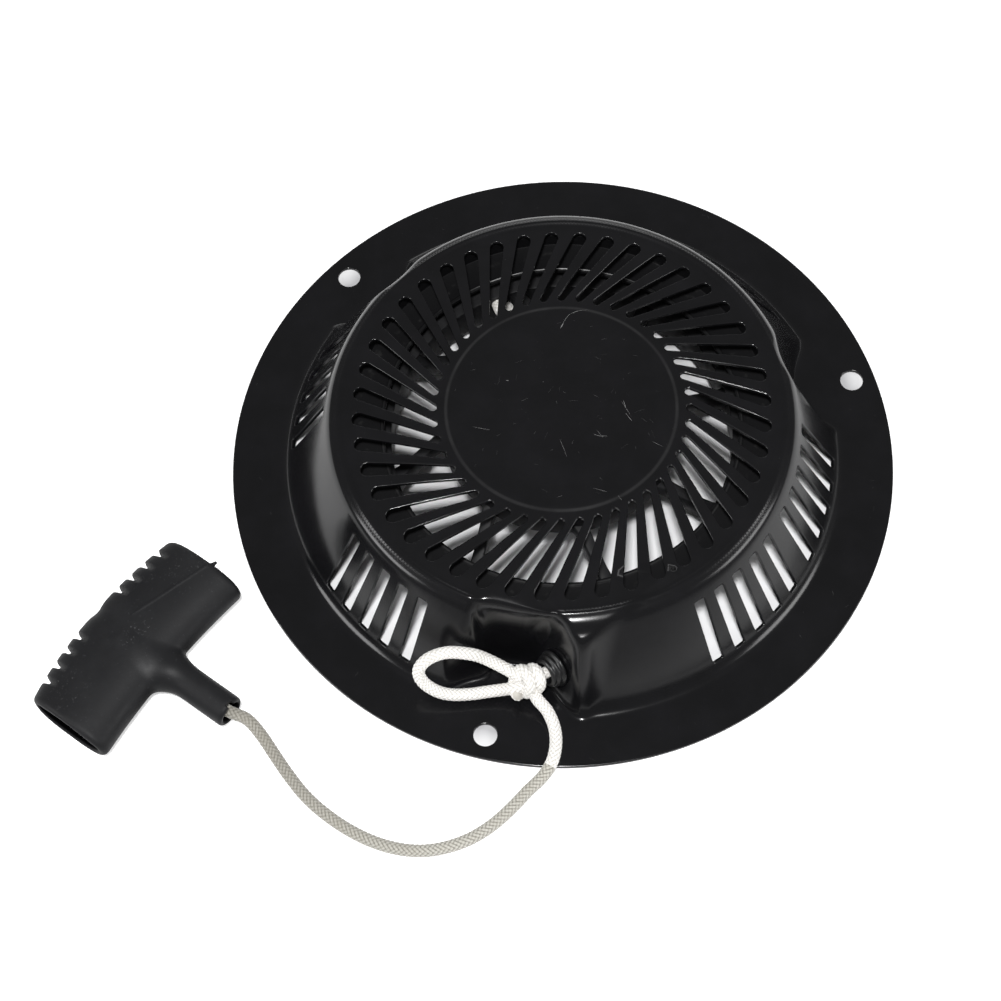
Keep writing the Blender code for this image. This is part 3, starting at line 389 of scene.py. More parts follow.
def add_piece(name, shape, mat, body, replaces=None, smooth=35.0, normals=None,
              attrs=None, blend=None, weld=True):
    """Adds a piece from (verts, faces) in millimetres and hangs it on a body."""
    verts, faces = shape
    mesh = bpy.data.meshes.new(name)
    coords = np.asarray([tuple(p) for p in verts], float) * MM
    mesh.from_pydata(coords.tolist(), [], [tuple(f) for f in faces])
    mesh.validate()
    for key, values in (attrs or {}).items():
        attribute = mesh.attributes.new(key, "FLOAT", "POINT")
        attribute.data.foreach_set("value", np.asarray(values, np.float32))
    if weld:
        bm = bmesh.new()
        bm.from_mesh(mesh)
        bmesh.ops.remove_doubles(bm, verts=bm.verts, dist=1e-7)
        bmesh.ops.recalc_face_normals(bm, faces=bm.faces)
        bm.to_mesh(mesh)
        bm.free()
    obj = bpy.data.objects.new(name, mesh)
    bpy.context.scene.collection.objects.link(obj)
    mesh.materials.append(mat)
    mesh.polygons.foreach_set("use_smooth", [True] * len(mesh.polygons))
    if normals is not None:
        mesh.normals_split_custom_set(normals)
    elif smooth:
        mesh.set_sharp_from_angle(angle=math.radians(smooth))
    if blend:
        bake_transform(obj)
    else:
        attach(obj, body)
    if replaces:
        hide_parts(replaces)


# ================================================================ materials
class Shader:
    """A Principled material, with short helpers that add nodes and return their outputs.

    Shader lengths are in metres.
    """

    def __init__(self, name, rgb, rough, metal=0.0):
        self.material = bpy.data.materials.new(name)
        self.material.use_nodes = True
        self.tree = self.material.node_tree
        self.bsdf = self.tree.nodes["Principled BSDF"]
        self.set("Base Color", rgb)
        self.set("Roughness", rough)
        self.set("Metallic", metal)
        self.material.diffuse_color = (*rgb, 1)

    def feed(self, socket, value):
        """Links value into socket, or stores it there if it is a number or a colour."""
        if isinstance(value, bpy.types.NodeSocket):
            self.tree.links.new(value, socket)
        elif isinstance(value, tuple):
            socket.default_value = (*value, 1)
        else:
            socket.default_value = value

    def set(self, name, value):
        self.feed(self.bsdf.inputs[name], value)

    def node(self, kind, **settings):
        node = self.tree.nodes.new(kind)
        for key, value in settings.items():
            setattr(node, key, value)
        return node

    def coords(self, scale=(1, 1, 1)):
        """Object coordinates."""
        source = self.node("ShaderNodeTexCoord")
        mapping = self.node("ShaderNodeMapping")
        mapping.inputs["Scale"].default_value = scale
        self.feed(mapping.inputs["Vector"], source.outputs["Object"])
        return mapping.outputs["Vector"]

    def attribute(self, name):
        return self.node("ShaderNodeAttribute", attribute_name=name).outputs["Fac"]

    def noise(self, vec, scale, detail=3.0, rough=0.5):
        node = self.node("ShaderNodeTexNoise")
        for key, value in (("Scale", scale), ("Detail", detail), ("Roughness", rough),
                           ("Vector", vec)):
            self.feed(node.inputs[key], value)
        return node.outputs["Fac"]

    def ramp(self, value, span, to=(0.0, 1.0)):
        """Maps value from span to another range, held at both ends."""
        node = self.node("ShaderNodeMapRange", clamp=True)
        for key, number in zip(("From Min", "From Max", "To Min", "To Max"), (*span, *to)):
            node.inputs[key].default_value = number
        self.feed(node.inputs["Value"], value)
        return node.outputs["Result"]

    def maths(self, operation, *values, clamp=False):
        node = self.node("ShaderNodeMath", operation=operation, use_clamp=clamp)
        for socket, value in zip(node.inputs, values):
            self.feed(socket, value)
        return node.outputs[0]

    def mul(self, value, by):
        return self.maths("MULTIPLY", value, by)

    def add(self, first, second, clamp=False):
        return self.maths("ADD", first, second, clamp=clamp)

    def invert(self, value):
        return self.maths("SUBTRACT", 1.0, value)

    def mix(self, share, first, second):
        """Colour between first (share 0) and second (share 1)."""
        node = self.node("ShaderNodeMix", data_type="RGBA")
        # sockets 6 and 7 are the colour pair
        for socket, value in ((0, share), (6, first), (7, second)):
            self.feed(node.inputs[socket], value)
        return node.outputs[2]

    def bump(self, height, strength, distance, over=None):
        """Bump that drives the surface normal, laid over an earlier bump if one is given."""
        node = self.node("ShaderNodeBump")
        self.feed(node.inputs["Strength"], strength)
        self.feed(node.inputs["Distance"], distance)
        self.feed(node.inputs["Height"], height)
        if over is not None:
            self.feed(node.inputs["Normal"], over)
        self.set("Normal", node.outputs["Normal"])
        return node.outputs["Normal"]

    def split(self, vec):
        """The x, y and z outputs of a vector."""
        node = self.node("ShaderNodeSeparateXYZ")
        self.feed(node.inputs[0], vec)
        return node.outputs

    def radius(self, xyz):
        """Distance from the Z axis."""
        return self.maths("SQRT", self.add(self.mul(xyz[0], by=xyz[0]),
                                           self.mul(xyz[1], by=xyz[1])))

    def band(self, value, centre, half):
        """1 at centre, falling to 0 at half either side."""
        away = self.maths("ABSOLUTE", self.maths("SUBTRACT", value, centre))
        return self.ramp(away, span=(half, half * 0.25))


def enamel_material():
    """Gloss black enamel: orange peel, settled dust, a rubbed line round the centre disc."""
    mat = Shader("black_enamel_look", (0.004, 0.004, 0.0045), rough=0.16)
    vec = mat.coords()
    radius = mat.radius(mat.split(vec))
    normal = mat.node("ShaderNodeNewGeometry").outputs["Normal"]
    upward = mat.ramp(mat.split(normal)[2], span=(0.90, 0.99))
    wear = mat.noise(vec, scale=14.0, detail=5.0, rough=0.6)
    dust = mat.ramp(mat.noise(vec, scale=1500.0, detail=1.0), span=(0.77, 0.82))
    patches = mat.ramp(mat.noise(vec, scale=22.0, detail=2.0), span=(0.45, 0.7))
    dust = mat.mul(mat.mul(dust, by=upward), by=patches)
    broken = mat.ramp(mat.noise(vec, scale=70.0, rough=0.6), span=(0.3, 0.7), to=(0.35, 1.0))
    ring = mat.mul(mat.band(radius, centre=0.0439, half=0.0009), by=broken)
    marks = mat.add(mat.mul(dust, by=0.16), mat.mul(ring, by=0.085), clamp=True)
    mottle = mat.ramp(mat.noise(vec, scale=45.0, detail=5.0, rough=0.65), span=(0.4, 0.7))
    base = mat.mix(mottle, (0.0040, 0.0040, 0.0045), (0.0058, 0.0057, 0.0066))
    mat.set("Base Color", mat.mix(marks, base, (0.17, 0.17, 0.17)))
    polish = mat.ramp(wear, span=(0.35, 0.7), to=(0.13, 0.23))
    mat.set("Roughness", mat.add(polish, mat.mul(marks, by=0.5)))
    mat.set("Specular IOR Level", 0.34)
    peel = mat.noise(vec, scale=420.0, detail=2.0)
    waves = mat.noise(vec, scale=55.0, detail=2.0)
    wavy = mat.bump(waves, strength=0.10, distance=0.0006)
    mat.bump(peel, strength=0.07, distance=0.0001, over=wavy)
    return mat.material


def baffle_material():
    """Dull black plate, with a pale band painted along the inner edge on the +Y side as
    highlight.
    """
    mat = Shader("baffle_look", (0.005, 0.005, 0.0055), rough=0.6)
    vec = mat.coords()
    patches = mat.noise(vec, scale=60.0, detail=5.0, rough=0.6)
    mat.set("Roughness", mat.ramp(patches, span=(0.3, 0.7), to=(0.5, 0.7)))
    specks = mat.ramp(mat.noise(vec, scale=240.0), span=(0.62, 0.75))
    base = mat.mix(specks, (0.0035, 0.0035, 0.004), (0.014, 0.014, 0.014))
    # painted highlight: a pale band on the inner edge, on the +Y side only, broken up by noise
    far_side = mat.ramp(mat.split(vec)[1], span=(0.060, 0.067), to=(0.03, 1.0))
    broken = mat.ramp(mat.noise(vec, scale=60.0), span=(0.35, 0.6), to=(0.35, 1.0))
    wear_and_painted_light = mat.mul(far_side, by=broken)
    edge = mat.mul(mat.band(mat.radius(mat.split(vec)), centre=0.0691, half=0.00045), by=wear_and_painted_light)
    mat.set("Base Color", mat.mix(edge, base, (0.55, 0.55, 0.55)))
    mat.set("Specular IOR Level", 0.12)
    mat.bump(mat.noise(vec, scale=700.0, detail=2.0), strength=0.15, distance=0.0001)
    return mat.material


def scuff_material():
    """Pale scuffs and lint; the tone attribute gives each its strength."""
    mat = Shader("scuff_look", (0.3, 0.3, 0.3), rough=0.7)
    tone = mat.attribute("tone")
    grain = mat.noise(mat.coords(), scale=900.0, detail=2.0)
    grain = mat.ramp(grain, span=(0.35, 0.6), to=(0.35, 1.0))
    shade = mat.mix(mat.mul(tone, by=grain), (0.02, 0.02, 0.021), (0.72, 0.72, 0.71))
    mat.set("Base Color", shade)
    mat.set("Specular IOR Level", 0.1)
    return mat.material


def moulded_material(name, rgb, rough, speck, wear_and_painted_light=0.0, specular=0.5):
    """Moulded plastic or rubber: fine pebble, rubbed spots and specks speck times as bright.

    With the wear setting given, pale wear spots show on the outside, and the hollows get
    painted shade: occlusion and the inside attribute colour them near black, with less
    specular.
    """
    mat = Shader(name, rgb, rough)
    mat.set("Specular IOR Level", specular)
    vec = mat.coords()
    rub = mat.ramp(mat.noise(vec, scale=45.0, detail=6.0, rough=0.7), span=(0.5, 0.78))
    fleck = mat.ramp(mat.noise(vec, scale=900.0, detail=2.0, rough=0.6), span=(0.66, 0.74))
    pale = mat.add(mat.mul(rub, by=0.35), mat.mul(fleck, by=0.65), clamp=True)
    colour = mat.mix(pale, rgb, tuple(c * speck for c in rgb))
    if wear_and_painted_light:
        spots = mat.mul(
            mat.ramp(mat.noise(vec, scale=1100.0, detail=2.0, rough=0.7), span=(0.60, 0.70)),
            by=mat.ramp(mat.noise(vec, scale=38.0, detail=4.0, rough=0.7), span=(0.53, 0.66)))
        colour = mat.mix(mat.mul(spots, by=wear_and_painted_light), colour, (0.16, 0.16, 0.165))
        # painted shade: hollows and the inside of the tube are coloured near black and lose
        # their specular
        occlusion = mat.node("ShaderNodeAmbientOcclusion", samples=6)
        occlusion.inputs["Distance"].default_value = 0.016
        unshaded = mat.ramp(occlusion.outputs["AO"], span=(0.25, 0.85))
        unshaded = mat.mul(unshaded, by=mat.invert(mat.attribute("inside")))
        colour = mat.mix(unshaded, (0.0005, 0.0005, 0.0006), colour)
        mat.set("Specular IOR Level", mat.mul(unshaded, by=0.17))
    mat.set("Base Color", colour)
    polish = mat.noise(vec, scale=80.0, detail=4.0, rough=0.6)
    mat.set("Roughness", mat.ramp(polish, span=(0.3, 0.7), to=(rough - 0.09, rough + 0.1)))
    pebble = mat.bump(mat.noise(vec, scale=1300.0, rough=0.6), strength=0.25, distance=0.00012)
    mat.bump(mat.noise(vec, scale=90.0), strength=0.12, distance=0.0004, over=pebble)
    return mat.material


def metal_material(name, rgb, rough, spin=True):
    """Steel with faint stains and fine lines, which run round the axis if spin is set."""
    mat = Shader(name, rgb, rough, metal=1.0)
    vec = mat.coords()
    if spin:
        xyz = mat.split(vec)
        radius = mat.radius(xyz)
        stretched = mat.node("ShaderNodeCombineXYZ")
        mat.feed(stretched.inputs[0], mat.mul(radius, by=2600.0))
        mat.feed(stretched.inputs[1], mat.mul(xyz[2], by=900.0))
        line = mat.noise(stretched.outputs[0], scale=1.0, detail=2.0, rough=0.7)
    else:
        line = mat.noise(mat.coords(scale=(1, 1, 12)), scale=300.0, detail=2.0, rough=0.6)
    stain = mat.noise(vec, scale=70.0, detail=5.0, rough=0.65)
    stained = mat.ramp(stain, span=(0.45, 0.75), to=(0.0, 0.8))
    mat.set("Base Color", mat.mix(stained, rgb, tuple(c * 0.55 for c in rgb)))
    brushed = mat.ramp(line, span=(0.3, 0.7), to=(rough - 0.08, rough + 0.08))
    dull = mat.ramp(stain, span=(0.5, 0.8), to=(0.0, 0.2))
    mat.set("Roughness", mat.add(brushed, dull))
    mat.bump(line, strength=0.15, distance=0.00006)
    return mat.material


def rope_material(name, base, shade, dirt, minus_x_tone=1.0):
    """Braided nylon: pale crowns, valleys in painted shade, threads along each strand.

    Below 1, the last setting darkens the cord's colour towards -X.
    """
    mat = Shader(name, base, rough=0.72)
    relief = mat.attribute("crown")
    fibre = mat.attribute("fibre")
    vec = mat.coords()
    crown = mat.ramp(relief, span=(0.15, 0.85))
    threads = mat.node("ShaderNodeTexNoise", noise_dimensions="1D")
    threads.inputs["Scale"].default_value = 9.0
    threads.inputs["Detail"].default_value = 2.0
    mat.feed(threads.inputs["W"], fibre)
    threads = threads.outputs["Fac"]
    # painted shade: the valleys between the strands take the darker shade colour
    colour = mat.mix(crown, shade, base)
    colour = mat.mix(mat.ramp(threads, span=(0.4, 0.7), to=(0.0, 0.35)), colour, shade)
    patches = mat.ramp(mat.noise(vec, scale=70.0, detail=5.0, rough=0.7), span=(0.48, 0.72))
    colour = mat.mix(mat.mul(patches, by=dirt), colour, (0.30, 0.28, 0.23))
    # the cord's colour is darkened towards -X by the given tone
    plus_x_share = mat.invert(mat.ramp(mat.split(vec)[0], span=(-0.112, -0.055), to=(1.0 - minus_x_tone, 0.0)))
    minus_x_colour = (base[0] * minus_x_tone * 0.5, base[1] * minus_x_tone * 0.47, base[2] * minus_x_tone * 0.42)
    mat.set("Base Color", mat.mix(plus_x_share, minus_x_colour, colour))
    mat.set("Sheen Weight", 0.3)
    mat.set("Sheen Roughness", 0.5)
    strands = mat.bump(relief, strength=0.5, distance=0.0003)
    mat.bump(threads, strength=0.35, distance=0.00012, over=strands)
    return mat.material


enamel = enamel_material()
baffle_paint = baffle_material()
grommet = moulded_material("grommet_look", (0.007, 0.007, 0.0075), rough=0.30, speck=2.6)
reel_plastic = moulded_material("reel_look", (0.0065, 0.0065, 0.0072), rough=0.50, speck=3.0,
                                specular=0.25)
scuff_paint = scuff_material()
handle_rubber = moulded_material("handle_look", (0.0088, 0.0089, 0.0098), rough=0.52,
                                 speck=2.6, wear_and_painted_light=0.55)
bush_nylon = moulded_material("bush_look", (0.55, 0.52, 0.44), rough=0.45, speck=1.3)
steel = metal_material("plated_look", (0.60, 0.60, 0.62), rough=0.30)
spring_steel = metal_material("spring_look", (0.20, 0.20, 0.23), rough=0.34, spin=False)
pawl_steel = metal_material("pawl_look", (0.36, 0.34, 0.31), rough=0.42, spin=False)
rope_white = rope_material("rope_white_look", base=(0.87, 0.86, 0.84),
                           shade=(0.46, 0.44, 0.40), dirt=0.25)
rope_cream = rope_material("rope_cream_look", base=(0.52, 0.505, 0.455),
                           shade=(0.15, 0.142, 0.118), dirt=0.45, minus_x_tone=0.5)


# ============================================================ housing height
BOLT_CENTRES = [polar(BOLT_PCR, math.radians(BOLT_A0 + 360 / BOLT_N * i))
                for i in range(BOLT_N)]


def boss_height(x, y, along):
    """Flat-topped boss over the rope exit, with two sloping faces."""
    end = (EXIT_REF_Z - BOSS_TOP) / END_SLOPE - along
    side = BOSS_SIDE_D - (BOSS_SIDE[0] * x + BOSS_SIDE[1] * y)
    side_share = np.clip(0.5 + 0.5 * (end - side) / 6.0, 0.0, 1.0)
    face = soft_min(end, side, blend=6.0)
    # the side face slopes 0.6 less than the end face
    sloping = BOSS_TOP + (END_SLOPE - 0.6 * side_share) * face
    boss = soft_min(np.full_like(x, BOSS_TOP), sloping, blend=5.0)
    return np.where(y < -70.0, boss, -50.0)


def dent_distance(x, y, radius, along):
    """Negative inside the three notches and the pocket that leads to the rope exit."""
    notch = np.full_like(radius, 90.0)
    for centre in BOLT_CENTRES:
        notch = np.minimum(notch, distance_to(x, y, centre) - NOTCH_R)
    inner = (POCKET_INNER_R - radius) * 2.2
    end = 0.851 * (4.65 - along)
    angle = math.radians(POCKET_SIDE_A)
    side = x * math.sin(angle) - y * math.cos(angle)
    # the corner between inner wall and end wall opens out with height
    corner = 4.0 + 8.0 * np.clip((np.maximum(inner, end) - 4.5) / 4.0, 0.0, 1.0)
    pocket = soft_max(soft_max(inner, end, blend=corner), side, blend=9.0)
    return soft_min(notch, pocket, blend=5.0)


def housing_blank(x, y):
    """Housing before the sheet's bend radii: cone, grille face, boss and dents."""
    radius = np.hypot(x, y)
    wall = FLANGE_TOP + WALL_SLOPE * (WALL_R - radius)
    outward = np.clip((radius - TOP_FALL_R) / TOP_FALL, 0.0, 1.3)
    top = TOP_HUB_Z - (TOP_HUB_Z - TOP_EDGE_Z) * outward * outward
    z = soft_min(wall, top, blend=3.0)
    along = (x - EXIT[0]) * PULL[0] + (y - EXIT[1]) * PULL[1]
    z = soft_max(z, boss_height(x, y, along), blend=9.0)
    dent = dent_distance(x, y, radius, along)
    # the bend is tighter near the rope exit
    bend = 11.0 - 5.0 * bell(distance_to(x, y, EXIT), 13.0)
    z = soft_min(z, FLANGE_TOP + NOTCH_SLOPE * dent, blend=bend)
    return soft_max(z, np.full_like(radius, FLANGE_TOP), blend=6.5)


# The blank is averaged over a disc as wide as the local bend
BEND_CENTRE_WEIGHT = 0.10
BEND_SAMPLES = ((0.058, 0.4), (0.052, 0.75), (0.04, 1.0))    # weight, share of the bend
BEND_WIDE = (-29.0, -87.0)      # centre of the widest bend


def housing_height(x, y):
    """Height of the housing's outer skin."""
    x = np.asarray(x, float)
    y = np.asarray(y, float)
    radius = np.hypot(x, y)
    bend = 1.0 + 1.9 * bell(distance_to(x, y, BEND_WIDE), 15.0)
    for centre in BOLT_CENTRES:
        bend = np.maximum(bend, 1.0 + 1.3 * bell(distance_to(x, y, centre), 33.0, power=8))
    bend = bend - 0.3 * bell(distance_to(x, y, EXIT), 9.0)
    z = BEND_CENTRE_WEIGHT * housing_blank(x, y)
    for k in range(18):
        angle = math.pi * k / 9.0
        weight, share = BEND_SAMPLES[k % 3]
        z = z + weight * housing_blank(x + bend * share * math.cos(angle),
                                       y + bend * share * math.sin(angle))
    step = np.clip((DISC_R + DISC_EDGE - radius) / (2 * DISC_EDGE), 0.0, 1.0)
    z = z + DISC_STEP * step * step * (3 - 2 * step)
    # the bead fades out where the dents cut below the grille
    z = z + RIM_H * bell(radius - RIM_R, RIM_W) * np.clip((z - 30.0) / 7.0, 0.0, 1.0)
    return np.where(radius > FLAT_R, FLANGE_TOP, z)


def housing_normals(x, y):
    step = 0.05
    slope_x = (housing_height(x + step, y) - housing_height(x - step, y)) / (2 * step)
    slope_y = (housing_height(x, y + step) - housing_height(x, y - step)) / (2 * step)
    normals = np.stack([-slope_x, -slope_y, np.ones_like(slope_x)], -1)
    return normals / np.linalg.norm(normals, axis=1)[:, None]


# ============================================================= housing holes
def top_slot(index, end_points):
    """Tapered grille slot with round ends."""
    outer_angle = math.radians(SLOT_A0 + 360.0 / SLOT_N * index)
    outer = Vector(polar(SLOT_OUT_R, outer_angle))
    inner = Vector(polar(SLOT_IN_R, outer_angle + math.radians(SLOT_SKEW)))
    along = (outer - inner).normalized()
    across = Vector((-along.y, along.x))
    out = []
    for centre, width, sign in ((outer, SLOT_OUT_W, 1), (inner, SLOT_IN_W, -1)):
        for k in range(end_points):
            angle = -math.pi / 2 + math.pi * k / (end_points - 1)
            offset = along * math.cos(angle) + across * math.sin(angle)
            point = centre + offset * (width / 2) * sign
            out.append((point.x, point.y))
    return out


def side_slot(degrees):
    """Slot with rounded corners in the conical wall."""
    corner_points = 3
    radial = np.array(polar(1.0, math.radians(degrees)))
    across = np.array([-radial[1], radial[0]])
    inset = SIDE_CORNER * SIDE_CORNER_RADIAL
    out = []
    # the four corners: centre radius, radial sign, sideways sign
    for centre, outward, sideways in ((SIDE_R_OUT - inset, 1, 1), (SIDE_R_IN + inset, -1, 1),
                                      (SIDE_R_IN + inset, -1, -1), (SIDE_R_OUT - inset, 1, -1)):
        order = range(corner_points + 1)
        for k in order if outward * sideways > 0 else reversed(order):
            angle = math.pi / 2 * k / corner_points
            half = SIDE_W / 2 - SIDE_CORNER + SIDE_CORNER * math.sin(angle)
            out.append(tuple(radial * (centre + outward * inset * math.cos(angle))
                             + across * sideways * half))
    # the long sides are split so the edge follows the wall
    return densify(out, step=1.6)


def side_angles():
    return [middle + SIDE_PITCH * (k - (SIDE_PER - 1) / 2)
            for middle in SIDE_GROUPS for k in range(SIDE_PER)]


def exit_hole(count):
    """Plan outline of the round hole in the sloping end wall."""
    pull = Vector(PULL)
    across = Vector((-pull.y, pull.x)) * -1
    centre = Vector(EXIT) + pull * ((EXIT_REF_Z - EXIT_Z) / END_SLOPE)
    out = []
    for k in range(count):
        angle = 2 * math.pi * k / count
        point = (centre + across * (EXIT_HOLE_R * math.cos(angle))
                 - pull * (EXIT_HOLE_R * math.sin(angle) * EXIT_FORESHORTEN))
        out.append((point.x, point.y))
    return out


def exit_frame():
    """Centre of the exit hole, the end wall's outward normal, and the level pull direction."""
    pull = Vector((PULL[0], PULL[1], 0))
    normal = (pull * END_SLOPE + Vector((0, 0, 1))).normalized()
    centre = Vector((EXIT[0], EXIT[1], 0)) + pull * ((EXIT_REF_Z - EXIT_Z) / END_SLOPE)
    centre.z = EXIT_Z
    return centre, normal, pull


# ============================================================== housing mesh
COARSE = 1.0      # point spacing multiplier
LIP = 0.38                          # width of the rolled edge round each hole
THIN_CELL = 0.42                    # one free point is kept in each cell of this size
EDGE_SINK = 0.30                    # how far cut edges are rolled down

# Rings of points round the axis: radius, count
RINGS_FLANGE = [(129.5, 360), (126.0, 180), (121.5, 180), (117.5, 240), (115.0, 300)]
RINGS_GRILLE = [(80.5, 300), (79.0, 260), (62.0, 150), (50.0, 180), (48.0, 180), (46.5, 200)]
RINGS_DISC = [(38.0, 90), (30.0, 60), (20.0, 40), (10.0, 20)]


def stepped_rings(radius, runs):
    """Rings stepping inwards; each run is (stop radius, step, points per ring)."""
    rings = []
    for stop, step, count in runs:
        while radius > stop:
            rings.append((radius, count))
            radius -= step * COARSE
    return rings


def ring_points():
    wall = stepped_rings(114.0, ((105.5, 0.75, 340), (91.0, 2.4, 260), (82.0, 0.55, 400)))
    disc_step = stepped_rings(46.0, ((40.8, 0.65, 200),))
    points = []
    for i, (radius, count) in enumerate(RINGS_FLANGE + wall + RINGS_GRILLE
                                        + disc_step + RINGS_DISC):
        points += circle(0, 0, radius, int(count / COARSE), 0.5 * (i % 2))
    points.append((0.0, 0.0))
    return np.array(points)


def dent_points():
    """Fans round the bolt notches and a staggered grid over the rope pocket and boss."""
    points = []
    for x, y in BOLT_CENTRES:
        inward = math.atan2(y, x) + math.pi
        half_count = int(46 / COARSE)
        radius = 17.0
        while radius < 35.0:
            for k in range(-half_count, half_count + 1):
                angle = inward + math.radians(k * 92.0 / half_count)
                points.append((x + radius * math.cos(angle), y + radius * math.sin(angle)))
            radius += (0.55 if 19.5 < radius < 30.5 else 0.9) * COARSE
        points += circle(x, y, 6.5, 40) + circle(x, y, 9.0, 36) + circle(x, y, 12.5, 36, 0.5)
    step = 0.62 * COARSE
    for i in range(int(76 / step)):
        for j in range(int(34 / step)):
            points.append((-50.0 + i * step + (j % 2) * step * 0.5, -116.0 + j * step))
    points = np.array(points)
    radius = np.hypot(points[:, 0], points[:, 1])
    return points[(radius > 85.0) & (radius < 119.0)]


def pocket_wall_points():
    """Fine arcs on the pocket's inner wall."""
    return np.array([polar(radius, math.radians(degrees))
                     for radius in np.arange(82.9, 90.6, 0.3 * COARSE)
                     for degrees in np.arange(233.0, 268.0, 0.55 * COARSE)])


def point_zones(points):
    """Masks of the points in the dents' zone and in the pocket's inner-wall zone."""
    x, y = points[:, 0], points[:, 1]
    radius = np.hypot(x, y)
    degrees = np.degrees(np.arctan2(y, x)) % 360
    dent = ((x > -46.0) & (x < 26.0) & (y < -80.0) & (radius > 85.0) & (radius < 118.0)
            & (degrees > 246.0))
    for centre in BOLT_CENTRES:
        dent |= (distance_to(x, y, centre) < 34.5) & (radius < FLAT_R) & (radius > 84.6)
    wall = (radius > 82.7) & (radius < 90.7) & (degrees > 232.5) & (degrees < 267.0)
    return dent, wall


def in_box(points, low, high):
    return ((points > low) & (points < high)).all(axis=1)


def free_points(lips):
    """Mesh points between the outlines, each zone taken from its own pattern."""
    rings, dents, walls = ring_points(), dent_points(), pocket_wall_points()
    in_dent, in_wall = point_zones(rings)
    rings = rings[~in_dent & ~in_wall]
    in_dent, in_wall = point_zones(dents)
    dents = dents[in_dent & ~in_wall]
    walls = walls[point_zones(walls)[1]]
    points = np.vstack([rings, dents, walls])
    cells = np.round(points / THIN_CELL).astype(int)
    _, first = np.unique(cells, axis=0, return_index=True)
    points = points[np.sort(first)]
    keep = np.ones(len(points), bool)
    for lip in lips:
        near = np.where(in_box(points, lip.min(0) - 0.6, lip.max(0) + 0.6) & keep)[0]
        close = distance_to_loop(points[near], lip) < 0.35
        keep[near[close | inside_loop(points[near], lip)]] = False
    return points[keep]


def triangulate(rim, holes, lips, points):
    """Plan triangulation, wound counter-clockwise, with the holes left open."""
    flat, edges = [], []
    for loop in [rim] + holes + lips:
        first = len(flat)
        flat.extend(Vector((float(x), float(y))) for x, y in loop)
        edges.extend((first + i, first + (i + 1) % len(loop)) for i in range(len(loop)))
    flat.extend(Vector((float(x), float(y))) for x, y in points)
    verts, _, tris, *_ = delaunay_2d_cdt(flat, edges, [], 0, 1e-6)
    verts = np.array([(p.x, p.y) for p in verts])
    tris = np.array([t for t in tris if len(t) == 3])
    middles = verts[tris].mean(1)
    keep = np.hypot(middles[:, 0], middles[:, 1]) < FLANGE_R
    for hole in holes:
        near = np.where(in_box(middles, hole.min(0), hole.max(0)) & keep)[0]
        keep[near[inside_loop(middles[near], hole)]] = False
    tris = tris[keep]
    used, renumbered = np.unique(tris.ravel(), return_inverse=True)
    tris = renumbered.reshape(-1, 3)
    verts = verts[used]
    first, second, third = verts[tris[:, 0]], verts[tris[:, 1]], verts[tris[:, 2]]
    area = ((second[:, 0] - first[:, 0]) * (third[:, 1] - first[:, 1])
            - (second[:, 1] - first[:, 1]) * (third[:, 0] - first[:, 0]))
    tris[area < 0] = tris[area < 0][:, ::-1]
    return verts, tris


def border_edges(tris, count):
    """Directed edges that belong to one triangle only."""
    edges = np.concatenate([tris[:, [0, 1]], tris[:, [1, 2]], tris[:, [2, 0]]])
    forward = edges[:, 0].astype(np.int64) * count + edges[:, 1]
    backward = edges[:, 1].astype(np.int64) * count + edges[:, 0]
    return edges[~np.isin(forward, backward)]


def build_housing():
    end_points = 11
    holes = [densify(top_slot(i, end_points), 5.0 * COARSE) for i in range(SLOT_N)]
    holes += [side_slot(angle) for angle in side_angles()]
    holes += [circle(x, y, BOLT_HOLE_R, 48) for x, y in BOLT_CENTRES]
    holes.append(exit_hole(40))
    holes = [np.asarray(hole) for hole in holes]
    lips = [offset_loop(hole, LIP) for hole in holes]
    rim = circle(0, 0, FLANGE_R, 360)
    plan, tris = triangulate(rim, holes, lips, free_points(lips))
    count = len(plan)
    skin_normals = housing_normals(plan[:, 0], plan[:, 1])
    skin = np.column_stack([plan, housing_height(plan[:, 0], plan[:, 1])])
    border = border_edges(tris, count)
    outward = np.zeros((count, 3))
    for start, end in border:
        away = np.cross(skin[end] - skin[start], skin_normals[start])
        away /= max(np.linalg.norm(away), 1e-9)
        outward[start] += away
        outward[end] += away
    length = np.linalg.norm(outward, axis=1)
    on_edge = length > 1e-6
    outward[on_edge] /= length[on_edge][:, None]
    top = skin.copy()
    top[on_edge] -= skin_normals[on_edge] * EDGE_SINK
    bottom = skin - skin_normals * SHEET
    bottom[:, 2] = np.maximum(bottom[:, 2], 0.0)
    faces = [tuple(t) for t in tris] + [(c + count, b + count, a + count) for a, b, c in tris]
    faces += [(end, start, start + count, end + count) for start, end in border]
    # custom normals: exact on the skin, leaning outwards at the rolled edges
    top_normals = skin_normals.copy()
    top_normals[on_edge] = skin_normals[on_edge] * 0.62 + outward[on_edge] * 0.78
    top_normals /= np.linalg.norm(top_normals, axis=1)[:, None]
    bottom_normals = -skin_normals
    bottom_normals[bottom[:, 2] < 0.001] = (0, 0, -1)
    side_normals = []
    for start, end in border:
        side_normals += [outward[end], outward[start], outward[start], outward[end]]
    normals = np.vstack([top_normals[tris].reshape(-1, 3),
                         bottom_normals[tris[:, ::-1]].reshape(-1, 3), np.array(side_normals)])
    add_piece("housing_shell", (np.vstack([top, bottom]), faces), enamel, "housing_body",
              "housing", normals=[tuple(n) for n in normals], weld=False)


